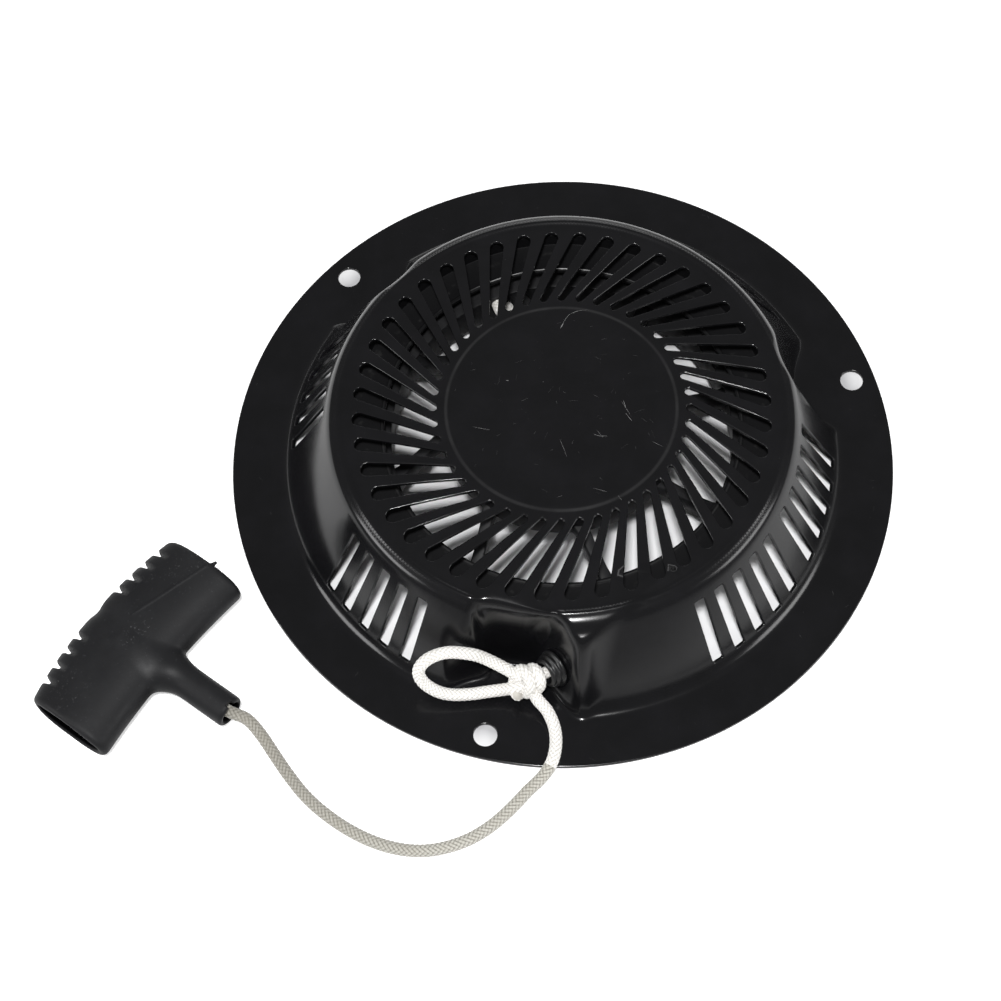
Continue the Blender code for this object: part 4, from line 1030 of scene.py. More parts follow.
# ==================================================================== scuffs
# Marks on the centre disc: points (x, y), width, tone
DISC_MARKS = [
    ([(2.8, 35.9), (4.2, 38.6), (6.0, 40.6), (9.2, 41.8), (13.3, 42.2)], 0.136, 0.325),
    ([(2.0, 34.6), (3.2, 36.6)], 0.272, 0.4),
    ([(-33.9, -6.5), (-27.5, -8.2)], 0.112, 0.25),
    ([(11.2, -12.6), (13.6, -13.7), (16.4, -13.8)], 0.16, 0.3),
    ([(12.7, -11.0), (14.8, -14.5)], 0.104, 0.25),
    ([(23.6, 1.3), (24.7, -3.4)], 0.16, 0.3),
    ([(24.2, -4.6), (26.3, -8.2)], 0.176, 0.3),
    ([(23.0, 0.6), (26.3, -6.2)], 0.096, 0.25),
    ([(33.4, -17.4), (37.0, -19.8)], 0.112, 0.225),
    ([(9.6, -35.4), (14.6, -37.3)], 0.112, 0.225),
    ([(18.6, -39.0), (19.9, -40.9)], 0.112, 0.2),
    ([(-1.4, -14.3), (-0.2, -18.0), (0.7, -21.7)], 0.128, 0.25),
    ([(-20.2, 12.9), (-19.4, 12.6)], 0.24, 0.25)]
SCUFF_LIFT = 0.025          # height of the marks above the enamel


def scuff_strokes(rng):
    """The measured marks, then random hairs on the disc and on the flange."""
    strokes = list(DISC_MARKS)
    for _ in range(60):
        radius = 41.0 * math.sqrt(rng.random())
        x, y = polar(radius, 2 * math.pi * rng.random())
        heading = 2 * math.pi * rng.random()
        length = 0.8 + 3.6 * rng.random() ** 2
        curl = 0.5 * (rng.random() - 0.5)
        points = [(x + length * t * math.cos(heading + curl * t),
                   y + length * t * math.sin(heading + curl * t)) for t in (0, .33, .66, 1)]
        strokes.append((points, 0.032 + 0.048 * rng.random(), 0.03 + 0.10 * rng.random()))
    for _ in range(26):
        radius = 120.5 + 8.5 * (rng.random() - 0.5) * 1.6
        x, y = polar(radius, 2 * math.pi * rng.random())
        heading = 2 * math.pi * rng.random()
        length = 0.6 + 2.2 * rng.random() ** 2
        if min(math.hypot(x - bx, y - by) for bx, by in BOLT_CENTRES) < 8.0:
            continue
        points = [(x, y), (x + length * math.cos(heading), y + length * math.sin(heading))]
        strokes.append((points, 0.032 + 0.04 * rng.random(), 0.02 + 0.08 * rng.random()))
    return strokes


def build_scuffs():
    """Flat ribbons lying on the skin, pointed at both ends."""
    rng = np.random.default_rng(11)
    verts, faces, tones = [], [], []
    for points, width, tone in scuff_strokes(rng):
        path, _ = resample([(x, y, 0.0) for x, y in points], 0.4)
        if len(points) > 2:
            path = smooth_path(path, 4)
        count = len(path)
        tangent = np.gradient(path, axis=0)
        tangent /= np.maximum(np.linalg.norm(tangent, axis=1), 1e-9)[:, None]
        first = len(verts)
        for i in range(count):
            taper = math.sin(math.pi * (i + 0.6) / (count + 0.2)) ** 0.6
            for side in (-0.5, 0.5):
                x = path[i, 0] - tangent[i, 1] * width * side * taper
                y = path[i, 1] + tangent[i, 0] * width * side * taper
                z = float(housing_height(np.array([x]), np.array([y]))[0]) + SCUFF_LIFT
                verts.append((x, y, z))
                tones.append(tone * (0.6 + 0.4 * rng.random()))
        for i in range(first, first + 2 * (count - 1), 2):
            faces.append((i, i + 2, i + 3, i + 1))
    add_piece("surface_scuffs", (verts, faces), scuff_paint, "housing_body",
              smooth=0, attrs={"tone": tones}, weld=False)


# ============================================================== braided cord
STRANDS = 8                 # strands wound each way
LAY = 15.0                  # cord length for one turn of a strand
BRAID_SINK = 0.27           # valleys lie this far inside the cord's radius
BRAID_RELIEF = 0.34


def strand_height(across, along):
    """Relief of one strand between its crossings, both offsets running -0.5 to 0.5."""
    return (1 - (2 * np.abs(across)) ** 2.4) * (0.55 + 0.45 * np.cos(np.pi * along))


def braid(name, points, mat, body, replaces=None, step=0.3, sides=40, radius=2.35,
          blend=None, cap=True, start=0.0):
    """Sixteen-strand round braid along points; start is the length at the first point."""
    path, length = resample(points, step)
    path = smooth_path(path, 2)
    count = len(path)
    tangent = np.gradient(path, axis=0)
    tangent /= np.linalg.norm(tangent, axis=1)[:, None]
    ref = np.array([0.0, 0.0, 1.0])
    if abs(tangent[0] @ ref) > 0.9:
        ref = np.array([1.0, 0.0, 0.0])
    side = np.zeros_like(path)
    square = np.cross(ref, tangent[0])
    side[0] = square / np.linalg.norm(square)
    for i in range(1, count):
        square = side[i - 1] - tangent[i] * (side[i - 1] @ tangent[i])
        side[i] = square / np.linalg.norm(square)
    other = np.cross(tangent, side)
    run, angle = np.meshgrid(length + start, np.linspace(0, 2 * np.pi, sides, endpoint=False),
                             indexing="ij")
    # strand coordinates of the two opposite windings
    left = STRANDS * (angle / (2 * np.pi)) + STRANDS * run / LAY
    right = STRANDS * (angle / (2 * np.pi)) - STRANDS * run / LAY
    left_off, right_off = left - np.floor(left) - 0.5, right - np.floor(right) - 0.5
    left_on_top = ((np.floor(left) + np.floor(right)) % 4) < 2
    relief = np.where(left_on_top, strand_height(left_off, right_off),
                      strand_height(right_off, left_off))
    # the multiples and the shift keep the thread pattern of each strand apart
    fibre = np.where(left_on_top, left_off * 3.0 + np.floor(left) * 7.3,
                     right_off * 3.0 + np.floor(right) * 5.1 + 90.0)
    skin = radius - BRAID_SINK + BRAID_RELIEF * relief
    verts = (path[:, None, :] + side[:, None, :] * (np.cos(angle) * skin)[..., None]
             + other[:, None, :] * (np.sin(angle) * skin)[..., None])
    add_piece(name, (verts.reshape(-1, 3), tube_faces(count, sides, cap)), mat, body,
              replaces, smooth=0,
              attrs={"crown": relief.ravel(), "fibre": fibre.ravel()}, blend=blend, weld=False)


def tangent_angle():
    """Angle at which the rope leaves the coil, so that it runs straight to the exit."""
    x, y = EXIT
    return (math.degrees(math.atan2(y, x)) % 360
            + math.degrees(math.acos(COIL_R_OUT / math.hypot(x, y))))


def coil_points():
    """Rope on the reel, from where it leaves to its anchor."""
    start = tangent_angle()
    total = ANCHOR_A + 3 * 360.0 - start
    count = int(total / COIL_STEP)
    points = []
    for i in range(count + 1):
        turn = total * i / count
        if turn < COIL_OUTER:
            radius, climb = COIL_R_OUT, turn
        elif turn < COIL_OUTER + COIL_CROSS:
            part = (turn - COIL_OUTER) / COIL_CROSS
            part = part * part * (3 - 2 * part)
            radius, climb = COIL_R_OUT + (COIL_R_IN - COIL_R_OUT) * part, COIL_OUTER
        else:
            radius, climb = COIL_R_IN, COIL_OUTER - (turn - COIL_OUTER - COIL_CROSS)
        x, y = polar(radius, math.radians(start + turn))
        points.append((x, y, COIL_Z + COIL_PITCH * climb / 360.0))
    return points


def lead_points():
    """Rope inside the housing, from clear of the turning coil to the exit hole."""
    centre, normal, pull = exit_frame()
    leaving = Vector((*polar(COIL_R_OUT, math.radians(tangent_angle())), COIL_Z))
    start = leaving + pull * 28.5
    bend = centre - normal * 9
    control = [start, start.lerp(bend, 0.5), bend, centre - normal * 4, centre,
               centre + normal * 5.0]
    return spline(control, 3)[:-2]


def build_exit_cord():
    """Cord from the bushing to the stop knot."""
    centre, normal, _ = exit_frame()
    points = spline([centre - normal * 1.0, centre + normal * 2.5,
                     (centre + normal * 5.0).lerp(KNOT_C, 0.35), KNOT_C], 8)
    fixed, moving = tuple(points[2] * MM), tuple(points[-3] * MM)
    braid("rope_exit_cord", points, rope_white, None, step=0.35, sides=28, radius=2.2,
          blend=("housing_body", "handle_body", fixed, moving))


def knot_points():
    """Cord wrapped 830 degrees round the loop's two legs."""
    side, other, along = axes_from((0.93, 0.28, -0.2))
    points = []
    for k in range(90):
        part = k / 89
        angle = math.radians(-150 + 830 * part)
        radius = 4.0 + (0.6 * math.sin(1.7 * angle + 0.6)
                        * (0.4 + 0.6 * math.sin(math.pi * part)))
        points.append(KNOT_C + along * (-3.8 + 9.0 * part + 0.9 * math.sin(angle))
                      + side * (math.cos(angle) * radius)
                      + other * (math.sin(angle) * radius * 1.1))
    return points


def loop_points():
    starts = [KNOT_C + Vector((-1.0, 0.6, 1.0)), KNOT_C + Vector((-4.0, 2.4, 1.4))]
    ends = [KNOT_C + Vector((-4.0, -1.8, -1.6)), KNOT_C + Vector((1.0, -1.2, -1.5))]
    return spline(starts + list(LOOP) + ends, 10)


def grip_to_world(x, y, z):
    along_x, along_y = math.cos(GRIP_A), math.sin(GRIP_A)
    return (GRIP_O[0] + along_x * x + along_y * y, GRIP_O[1] + along_y * x - along_x * y,
            GRIP_Z + z)


def build_tail():
    """Cord from the stop knot into the handle: white near the knot, cream beyond."""
    starts = [KNOT_C + Vector((0.6, -0.4, 0.6)), KNOT_C + Vector((2.2, -2.6, -0.6))]
    ends = [grip_to_world(0, 61.0, -0.4), grip_to_world(0, 50.0, 0),
            grip_to_world(0, 36.0, 0), grip_to_world(0, 30.5, 0)]
    points = spline(starts + list(TAIL) + ends, 10)
    split = min(range(len(points)), key=lambda i: (points[i] - TAIL_SPLIT).length)
    braid("tail_cord_near", points[:split + 1], rope_white, "handle_body", "rope_tail",
          cap=False)
    start = sum((points[i + 1] - points[i]).length for i in range(split))
    braid("tail_cord", points[split:], rope_cream, "handle_body", start=start, cap=False)


# ==================================================================== handle
def cross_tube(y, z):
    """Signed measure of the oval tube that runs the length of the grip."""
    return (((y - 17.0) / 13.0) ** 2 + (z / 5.4) ** 2) ** 0.5 * 5.6 - 5.6


def grip_bar(x, y, z):
    """The cross bar with its grooved outer edge."""
    outer = -4.9 + 4.6 * (np.abs(x - 1.0) / GRIP_HALF) ** 2.2
    outer = outer + 0.9 * bell(x - 1.4, 3.2)
    inner = 33.0 + 2.2 * np.minimum(1.0, (np.abs(x) / 38.0) ** 2)
    middle, half = (outer + inner) / 2, (inner - outer) / 2
    oval = (np.abs((y - middle) / half) ** 2.6
            + np.abs(z / GRIP_HALF_Z) ** 2.2) ** (1 / 2.4) - 1.0
    bar = oval * 9.5
    # the grooves fade out away from the outer edge
    fade = np.clip(1.15 - (y - outer) / 7.0, 0.0, 1.0)
    for groove in GROOVES:
        bar = bar + 2.2 * fade * bell(x - groove, 1.15, power=4)
    # a fine raised line slants across the upper face on the +x half
    line = 0.30 * bell(y - 10.7 - 0.312 * (x - 8.0), 0.32)
    bar = bar - line * (z > 0) * np.clip((x - 4.0) / 8.0, 0.0, 1.0)
    return soft_max(bar, np.abs(x) - GRIP_HALF, blend=2.6)


def grip_field(x, y, z):
    """Negative inside the handle."""
    stem = np.hypot(x, z) - (6.25 + 0.9 * bell(y - 34.5, 4.5))
    stem = soft_max(stem, y - 62.8, blend=1.6)
    stem = soft_max(stem, 14.0 - y, blend=2.0)
    body = soft_min(grip_bar(x, y, z), stem, blend=4.4 - 1.5 * np.tanh(x / 4.0))
    # a small bead on the upper face at the +x end
    bead = np.hypot(y - 21.3 - 0.35 * (x - 41.0), z - 7.4) - 0.75
    bead = soft_max(bead, np.abs(x - 40.6) - 2.0, blend=0.3)
    body = soft_min(body, bead, blend=0.6)
    # the tube flares at both ends
    tube = cross_tube(y, z) - 1.3 * bell(GRIP_HALF - np.abs(x), 1.3)
    # the rope bore widens at the end of the stem, which has a square notch in its top
    bore = np.hypot(x, z) - (3.5 + 1.2 * np.clip((y - 60.0) / 3.0, 0, 1))
    bore = soft_max(bore, 20.0 - y, blend=0.5)
    notch = np.maximum(np.maximum(np.abs(x - 1.0) - 1.2, 61.2 - y), 1.5 - z)
    body = soft_max(body, -tube, blend=0.9)
    body = soft_max(body, -bore, blend=0.6)
    return soft_max(body, -notch, blend=0.4)


def surface_net(field, low, high, step):
    """Closed surface where field crosses 0: one vertex in each grid cell it passes through."""
    axes = [np.arange(low[k], high[k] + step, step) for k in range(3)]
    values = field(*np.meshgrid(*axes, indexing="ij"))
    cells = tuple(size - 1 for size in values.shape)
    total = np.zeros(cells + (3,))
    count = np.zeros(cells)

    def at(corner):
        return values[tuple(slice(corner[k], cells[k] + corner[k]) for k in range(3))]

    for corner in [(i, j, k) for i in (0, 1) for j in (0, 1) for k in (0, 1)]:
        for axis in range(3):
            if corner[axis]:
                continue
            far = list(corner)
            far[axis] = 1
            start, end = at(corner), at(far)
            cross = (start < 0) != (end < 0)
            part = np.where(cross, start / np.where(cross, start - end, 1.0), 0.0)
            for k in range(3):
                offset = corner[k] + (part if k == axis else 0.0)
                total[..., k] += np.where(cross, offset, 0.0)
            count += cross
    crossed = count > 0
    index = -np.ones(cells, int)
    index[crossed] = np.arange(crossed.sum())
    verts = (total[crossed] / count[crossed][:, None] + np.argwhere(crossed)) * step
    verts = verts + np.array(low)

    # one quad round each grid edge whose ends differ
    negative = values < 0
    faces = []
    for axis in range(3):
        first, second = [k for k in range(3) if k != axis]
        near, far = [slice(None)] * 3, [slice(None)] * 3
        near[axis], far[axis] = slice(0, -1), slice(1, None)
        starts = negative[tuple(near)]
        for edge in np.argwhere(starts != negative[tuple(far)]):
            if any(edge[k] < 1 or edge[k] > cells[k] - 1 for k in (first, second)):
                continue
            quad = []
            for shift in ((0, 0), (-1, 0), (-1, -1), (0, -1)):
                cell = list(edge)
                cell[first] += shift[0]
                cell[second] += shift[1]
                quad.append(index[tuple(cell)])
            forward = starts[tuple(edge)] ^ (axis == 1)
            faces.append(quad if forward else quad[::-1])
    return verts, faces


def build_handle():
    verts, faces = surface_net(grip_field, low=(-43.0, -7.5, -11.0), high=(43.0, 65.0, 11.0),
                               step=0.5)
    # share of each point that lies inside the cross tube, which the material paints in shade
    hollow = (np.clip((2.1 - cross_tube(verts[:, 1], verts[:, 2])) / 1.0, 0.0, 1.0)
              * np.clip((40.7 - np.abs(verts[:, 0])) / 0.8, 0.0, 1.0))
    add_piece("handle_body_rubber", ([grip_to_world(*p) for p in verts], faces), handle_rubber,
              "handle_body", "handle_grip", smooth=0,
              attrs={"inside": hollow})


# ============================================================= turned pieces
# Closed profiles: radius, height
BAFFLE = [(68.0, 28.2), (81.4, 28.2), (82.0, 28.8), (82.0, 35.6), (80.8, 35.6), (80.8, 29.4),
          (69.6, 29.4), (69.1, 29.9), (68.0, 29.9)]
# heights along the exit hole's normal
BUSHING = [(3.4, -3.2), (4.6, -4.6), (6.2, -4.6), (6.6, -4.2), (6.6, -2.3), (5.25, -2.15),
           (5.25, 0.5), (7.3, 0.5), (7.3, 1.4), (6.5, 1.8), (6.2, 2.3), (6.6, 2.6), (6.6, 3.3),
           (5.8, 3.7), (5.5, 4.2), (5.8, 4.5), (5.8, 5.1), (5.1, 5.6), (4.3, 5.7), (3.4, 4.4)]
REEL_HUB = [(REEL_BORE_R, 15.8), (LOWER_HUB_R - REEL_BEVEL, 15.8), (LOWER_HUB_R, 16.4),
            (LOWER_HUB_R, 27.0), (HUB_R - REEL_BEVEL, 27.0), (HUB_R, 27.6), (HUB_R, 37.0),
            (HUB_R - REEL_BEVEL, 37.5), (CAVITY_R, 37.5), (CAVITY_R, 29.0),
            (REEL_BORE_R, 29.0)]
REEL_RIM = [(RING_IN_R, 6.0), (REEL_FLANGE_R - REEL_BEVEL, 5.5), (REEL_FLANGE_R, 6.1),
            (REEL_FLANGE_R, 7.0), (REEL_FLANGE_R - REEL_BEVEL, 7.4), (GROOVE_R, 7.5),
            (GROOVE_R, 20.1), (REEL_FLANGE_R - REEL_BEVEL, 20.2), (REEL_FLANGE_R, 20.7),
            (REEL_FLANGE_R, 21.4), (REEL_FLANGE_R - REEL_BEVEL, 22.0), (RING_IN_R, 21.5)]
# Open profile from axis to axis: radius, height
POST = [(0, 39.9), (13.6, 39.9), (14.0, 39.5), (14.0, 38.0), (POST_R, 38.0), (POST_R, 6.9),
        (POST_R - 0.4, 6.6), (4.3, 6.6), (4.3, 26.0), (0, 26.0)]
# Rows of the bolt between its two axis points: radius, height
BOLT = [(5.6, 0.0), (6.5, 0.12), (7.5, 0.9), (7.5, 4.0), (8.6, 4.0), (8.6, 5.0), (3.95, 5.0),
        (3.95, 25.0)]
BOLT_FLAT_R = 6.5           # axis to flat of the hexagon
BOLT_HEAD_R = 7.5           # rows within this radius and height are cut to the hexagon
BOLT_HEAD_H = 4.0
BOLT_TURN = 10.0            # angle of a corner of the hexagon


def build_housing_rings():
    """Baffle, rope bushing, centre post and retaining washer."""
    add_piece("baffle", lathe(soft_profile(BAFFLE, 0.35), TURNED_SEGMENTS), baffle_paint,
              "housing_body", "baffle_ring")
    centre, normal, _ = exit_frame()
    add_piece("bushing", lathe(soft_profile(BUSHING, 0.28), 72, centre=centre, axis=normal),
              grommet, "housing_body", "rope_bushing", smooth=60)
    add_piece("post", turned(soft_profile(POST, 0.4, closed=False), 96), steel,
              "housing_body", "center_post")
    add_piece("washer", lathe(soft_profile(rectangle(4.4, 15.0, 5.3, 6.4), 0.3), 96), steel,
              "housing_body", "retainer_washer")


def build_bolt():
    """Hexagon head with a chamfered crown, its flange and shank."""
    count = 96
    verts = []
    for radius, z in BOLT:
        for k in range(count):
            angle = 2 * math.pi * k / count
            off_flat = ((math.degrees(angle) - BOLT_TURN) % 60.0) - 30.0
            hexagon = BOLT_FLAT_R / math.cos(math.radians(off_flat))
            in_head = z <= BOLT_HEAD_H and radius <= BOLT_HEAD_R
            verts.append((*polar(min(radius, hexagon) if in_head else radius, angle), z))
    crown, tip = len(verts), len(verts) + 1
    last_row = (len(BOLT) - 1) * count
    verts += [(0, 0, BOLT[0][1]), (0, 0, BOLT[-1][1])]
    faces = []
    for k in range(count):
        m = (k + 1) % count
        faces.append((crown, k, m))
        faces.append((tip, last_row + m, last_row + k))
        for row in range(0, last_row, count):
            faces.append((row + k, row + count + k, row + count + m, row + m))
    add_piece("bolt", (verts, faces), steel, "housing_body", "center_bolt",
              smooth=28)


# ====================================================================== reel
# Rib cross-section in half widths and half heights, its corners eased
RIB_SECTION = [(-.86, -.97), (-.72, -1), (.72, -1), (.86, -.97), (1, -.86), (1, .86),
               (.86, .97), (.72, 1), (-.72, 1), (-.86, .97), (-1, .86), (-1, -.86)]
RIB_STEPS = 14
RIB_LEAN = 7.0              # turn from the inner end to the outer one
RIB_HUB_Z = (27.6, 33.2)    # bottom and top at the hub
RIB_RIM_Z = (8.6, 19.6)     # bottom and top at the rim


def build_rib(number):
    """Bar sloping down from hub to rim, a little wider at both roots."""
    degrees = 5.0 + 360.0 / RIB_N * (number - 1)
    inner = Vector(polar(HUB_R - 1.6, math.radians(degrees)))
    outer = Vector(polar(RING_IN_R + 0.9, math.radians(degrees + RIB_LEAN)))
    along = (outer - inner).normalized()
    across = Vector((-along.y, along.x))
    verts = []
    for i in range(RIB_STEPS + 1):
        part = i / RIB_STEPS
        middle = inner.lerp(outer, part)
        half_width = 2.1 + 1.3 * math.exp(-part * 9) + 1.3 * math.exp(-(1 - part) * 9)
        bottom, top = (hub + (rim - hub) * part for hub, rim in zip(RIB_HUB_Z, RIB_RIM_Z))
        for sideways, upward in RIB_SECTION:
            point = middle + across * (sideways * half_width)
            verts.append((point.x, point.y, (bottom + top) / 2 + upward * (top - bottom) / 2))
    add_piece("reel_rib_%d" % number, (verts, tube_faces(RIB_STEPS + 1, len(RIB_SECTION))),
              reel_plastic, "reel_body", smooth=50)


def build_reel():
    """Hub drum, rope rim, ribs, centre bush and spring cover."""
    add_piece("reel_hub", lathe(soft_profile(REEL_HUB, 0.5), TURNED_SEGMENTS), reel_plastic,
              "reel_body", "reel")
    add_piece("reel_rim", lathe(soft_profile(REEL_RIM, 0.35), TURNED_SEGMENTS), reel_plastic,
              "reel_body")
    for number in range(1, RIB_N + 1):
        build_rib(number)
    add_piece("bush", lathe(soft_profile(rectangle(8.7, 10.8, 11.0, 24.6), 0.3), 96),
              bush_nylon, "reel_body", "reel_bush")
    add_piece("cover", lathe(soft_profile(rectangle(11.0, 43.6, 36.2, 37.2), 0.3), 128),
              steel, "reel_body", "spring_cover")


# Strip cross-section: offset from the spiral radius, height
STRIP = ((-.28, 29.5), (.28, 29.5), (.35, 29.7), (.35, 35.6), (.28, 35.8), (-.28, 35.8),
         (-.35, 35.6), (-.35, 29.7))
STRIP_TURNS = 6
STRIP_R = (9.6, 42.4)       # inner and outer end of the spiral


def build_recoil_spring():
    """Flat strip wound in a spiral."""
    count = STRIP_TURNS * 96
    verts = []
    for i in range(count + 1):
        part = i / count
        angle = 2 * math.pi * STRIP_TURNS * part
        radius = STRIP_R[0] + (STRIP_R[1] - STRIP_R[0]) * part
        verts += [(*polar(radius + offset, angle), z) for offset, z in STRIP]
    add_piece("spring_strip", (verts, tube_faces(count + 1, len(STRIP))), spring_steel,
              "reel_body", "recoil_spring")


def build_anchor_knot():
    """Cord wound on itself at the rope's inner end."""
    angle = math.radians(ANCHOR_A)
    centre = Vector((*polar(60.4, angle), 16.5))
    outward = Vector((math.cos(angle), math.sin(angle), 0))
    along = Vector((-math.sin(angle), math.cos(angle), 0)).normalized()
    upward = Vector((0, 0, 1))
    points = [centre + outward * 7.5 + along * 2.0 + Vector((0, 0, 0.5)),
              centre + outward * 5.2 + along * 2.4 + Vector((0, 0, 1.6))]
    for k in range(40):
        part = k / 39
        turn = math.radians(80) - 3.1 * math.pi * part
        points.append(centre + along * (2.3 - 4.6 * part) + outward * (math.cos(turn) * 2.2)
                      + upward * (math.sin(turn) * 2.2))
    points += [centre - along * 3.6 - outward * 3.4 + Vector((0, 0, 1.6)),
               centre - along * 4.0 - outward * 5.0 + Vector((0, 0, 2.4))]
    braid("anchor_knot", spline(points[::3] + [points[-1]], 6), rope_white, "reel_body",
          "rope_anchor_knot", step=0.4, sides=30)


# ============================================================== small pieces
def build_handle_end():
    """Knot inside the handle and the washer it bears on."""
    side, other, along = axes_from(GRIP_Y_AXIS)
    centre = Vector(grip_to_world(0, 23.4, 0))
    points = []
    for k in range(50):
        part = k / 49
        angle = 4 * math.pi * part
        points.append(centre + along * (-2.0 + 4.2 * part) + side * (math.cos(angle) * 1.7)
                      + other * (math.sin(angle) * 1.7))
    braid("handle_end_knot", points, rope_white, "handle_body", "handle_knot", step=0.5,
          sides=24, radius=1.9)
    washer = lathe(soft_profile(rectangle(2.75, 4.9, 28.0, 29.4), 0.25), 64,
                   centre=grip_to_world(0, 0, 0), axis=GRIP_Y_AXIS)
    add_piece("handle_washer", washer, steel, "handle_body",
              "handle_retainer")


def build_friction_spring():
    """Open ring of wire with both ends turned out towards +X."""
    height = 7.6
    ring = [polar(11.6, math.radians(degrees)) for degrees in range(20, 341, 8)]
    plan = [(17.0, 3.0), (13.4, 3.2)] + ring + [(13.4, -3.2), (17.0, -3.0)]
    points = spline([(x, y, height) for x, y in plan], 2)
    add_piece("friction_wire", wire(points, radius=0.6, sides=14), spring_steel,
              "housing_body", "friction_spring")


def finish_cad_pieces():
    """Pieces that keep their CAD shape get a finish, and all but the springs eased edges."""
    for name, mat in (("pawl_1", pawl_steel), ("pawl_2", pawl_steel), ("pawl_pin_1", steel),
                      ("pawl_pin_2", steel), ("ratchet_guide", steel),
                      ("pawl_spring_1", spring_steel), ("pawl_spring_2", spring_steel)):
        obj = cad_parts[name]
        obj.data.materials.clear()
        obj.data.materials.append(mat)
        if not name.startswith("pawl_spring"):
            bevel = obj.modifiers.new("edge", "BEVEL")
            bevel.width = 0.25 * MM
            bevel.segments = 2
            bevel.limit_method = "ANGLE"
            bevel.angle_limit = math.radians(50)
        for polygon in obj.data.polygons:
            polygon.use_smooth = True
        obj.data.set_sharp_from_angle(angle=math.radians(40))


build_housing()
build_scuffs()
braid("rope_coil", coil_points(), rope_white, "reel_body", "rope_on_reel", step=0.9, sides=18,
      radius=2.3)
braid("rope_lead_cord", lead_points(), rope_white, "housing_body", "rope_lead", step=0.5,
      sides=28, radius=2.25)
build_exit_cord()
braid("knot_wrap", knot_points(), rope_white, "handle_body", "stop_knot", step=0.35, sides=32,
      radius=2.3)
braid("loop_cord", loop_points(), rope_white, "handle_body", "rope_loop")
build_tail()
build_handle()
build_housing_rings()
build_bolt()
build_reel()
build_recoil_spring()
build_anchor_knot()
build_handle_end()
build_friction_spring()
finish_cad_pieces()


# ============================================================ studio, camera
def floor_material():
    """White sweep, glowing beyond the housing, with painted shade under it, dimmed in
    reflections.
    """
    mat = Shader("floor", (0.86, 0.86, 0.86), rough=0.85)
    patches = mat.ramp(mat.noise(mat.coords(), scale=3.0), span=(0.3, 0.7))
    sheet = mat.mix(patches, (0.87, 0.87, 0.875), (0.85, 0.85, 0.85))
    mat.set("Emission Color", (1, 1, 1))
    position = mat.node("ShaderNodeNewGeometry").outputs["Position"]
    length = mat.node("ShaderNodeVectorMath", operation="LENGTH")
    mat.feed(length.inputs[0], position)
    radius = length.outputs["Value"]
    outside = (0.118, 0.134)    # distance over which the floor comes out from the housing
    mat.set("Emission Strength", mat.ramp(radius, span=outside, to=(0.0, 0.50)))
    mat.set("Specular IOR Level", 0.1)
    # painted shade: under the housing the floor's colour turns grey, darkest near the middle
    under = mat.ramp(radius, span=outside, to=(1.0, 0.0))
    shade = mat.mix(mat.ramp(radius, span=(0.108, 0.117)), (0.80, 0.80, 0.81),
                    (0.40, 0.40, 0.41))
    mat.set("Base Color", mat.mix(under, sheet, shade))
    # reflections of the floor are dimmest on the -Y side
    y = mat.split(position)[1]
    glossy = mat.node("ShaderNodeLightPath").outputs["Is Glossy Ray"]
    dim = mat.mul(glossy, by=mat.ramp(y, span=(-0.20, -0.09), to=(0.78, 0.15)))
    dark = mat.node("ShaderNodeEmission")
    dark.inputs["Strength"].default_value = 0.0
    mixed = mat.node("ShaderNodeMixShader")
    for socket, value in zip(mixed.inputs, (dim, mat.bsdf.outputs[0], dark.outputs[0])):
        mat.feed(socket, value)
    mat.feed(mat.tree.nodes["Material Output"].inputs["Surface"], mixed.outputs[0])
    return mat.material


def build_floor():
    half, z = 6, -0.0004        # metres
    material = floor_material()
    mesh = bpy.data.meshes.new("floor")
    corners = [(-half, -half, z), (half, -half, z), (half, half, z), (-half, half, z)]
    mesh.from_pydata(corners, [], [(0, 1, 2, 3)])
    mesh.materials.append(material)
    floor = bpy.data.objects.new("floor", mesh)
    bpy.context.scene.collection.objects.link(floor)


def build_world():
    world = bpy.data.worlds.new("studio")
    bpy.context.scene.world = world
    world.use_nodes = True
    background = world.node_tree.nodes["Background"]
    background.inputs["Color"].default_value = (1, 1, 1, 1)
    background.inputs["Strength"].default_value = 0.20


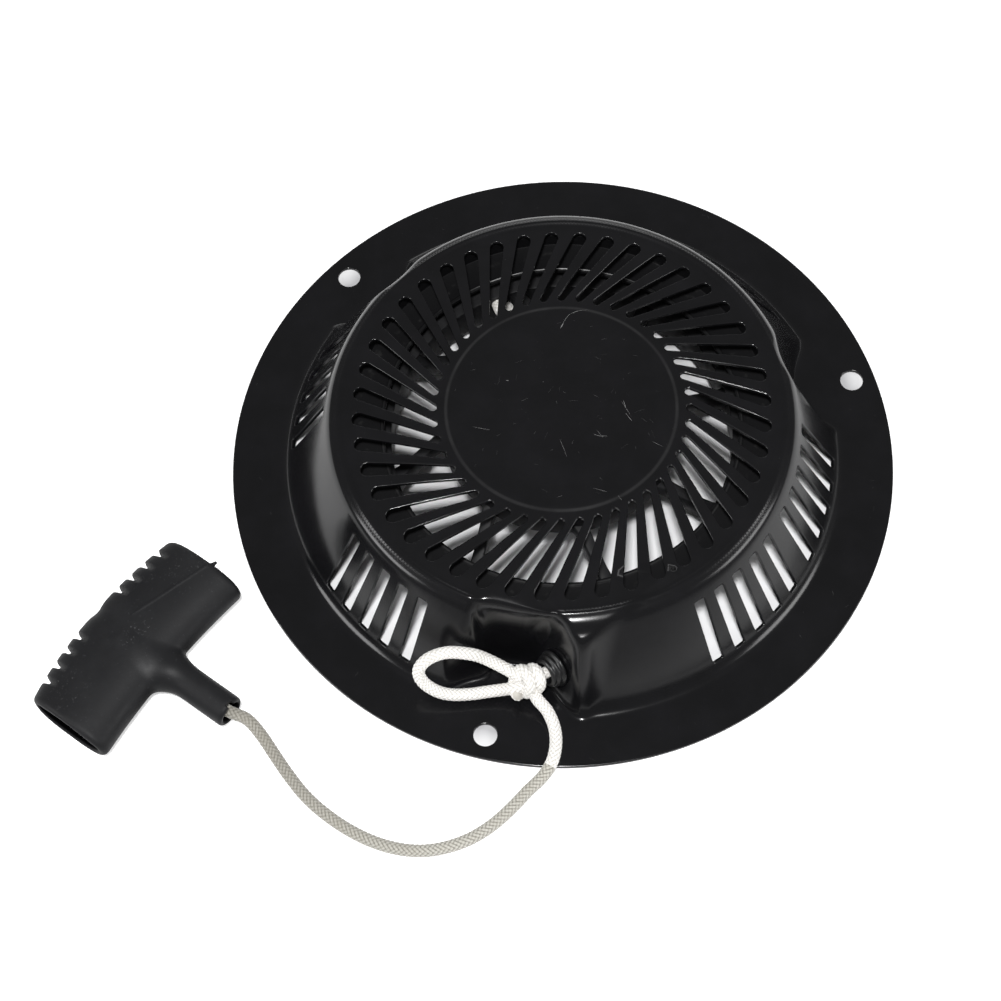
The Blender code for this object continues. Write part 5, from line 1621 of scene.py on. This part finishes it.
def softbox(name, place, target, size, power):
    """Rectangular area light aimed at target; metres and watts."""
    light = bpy.data.lights.new(name, "AREA")
    light.shape = "RECTANGLE"
    light.size, light.size_y = size
    light.energy = power
    obj = bpy.data.objects.new(name, light)
    obj.location = place
    aim = Vector(target) - Vector(place)
    obj.rotation_euler = aim.to_track_quat("-Z", "Y").to_euler()
    bpy.context.scene.collection.objects.link(obj)


CAMERA_ELEVATION = math.radians(63.314)
CAMERA_ROLL = math.radians(-3.454)
CAMERA_DISTANCE = 935.449
CAMERA_TARGET = (-25.155, -17.285, 0)


def build_camera():
    """Camera on the -Y side, looking down at the target."""
    back = Vector((0, -math.cos(CAMERA_ELEVATION), math.sin(CAMERA_ELEVATION)))
    level_up = Vector((0, math.sin(CAMERA_ELEVATION), math.cos(CAMERA_ELEVATION)))
    level_right = Vector((1, 0, 0))
    right = level_right * math.cos(CAMERA_ROLL) + level_up * math.sin(CAMERA_ROLL)
    up = level_right * -math.sin(CAMERA_ROLL) + level_up * math.cos(CAMERA_ROLL)
    place = (back * CAMERA_DISTANCE + Vector(CAMERA_TARGET)) * MM
    data = bpy.data.cameras.new("camera")
    data.lens = 85.86
    data.sensor_width = 36.0
    data.sensor_fit = "HORIZONTAL"
    camera = bpy.data.objects.new("camera", data)
    turn = Matrix((right, up, back)).transposed()
    camera.matrix_world = Matrix.Translation(place) @ turn.to_4x4()
    bpy.context.scene.collection.objects.link(camera)
    bpy.context.scene.camera = camera


build_floor()
build_world()
softbox("key", place=(-0.07, -0.51, 1.36), target=(0, 0, 0), size=(0.13, 0.13), power=22.0)
softbox("left", place=(-1.35, -0.35, 0.75), target=(0, 0, 0.02), size=(0.7, 0.5), power=9.0)
softbox("right", place=(1.35, -0.45, 0.7), target=(0, 0, 0.02), size=(0.7, 0.5), power=9.0)
softbox("back", place=(0.0, 1.7, 0.55), target=(0, 0, 0.02), size=(1.2, 0.35), power=3.2)
build_camera()
view = bpy.context.scene.view_settings
view.view_transform = "Standard"
view.look = "None"
view.exposure = 0.0
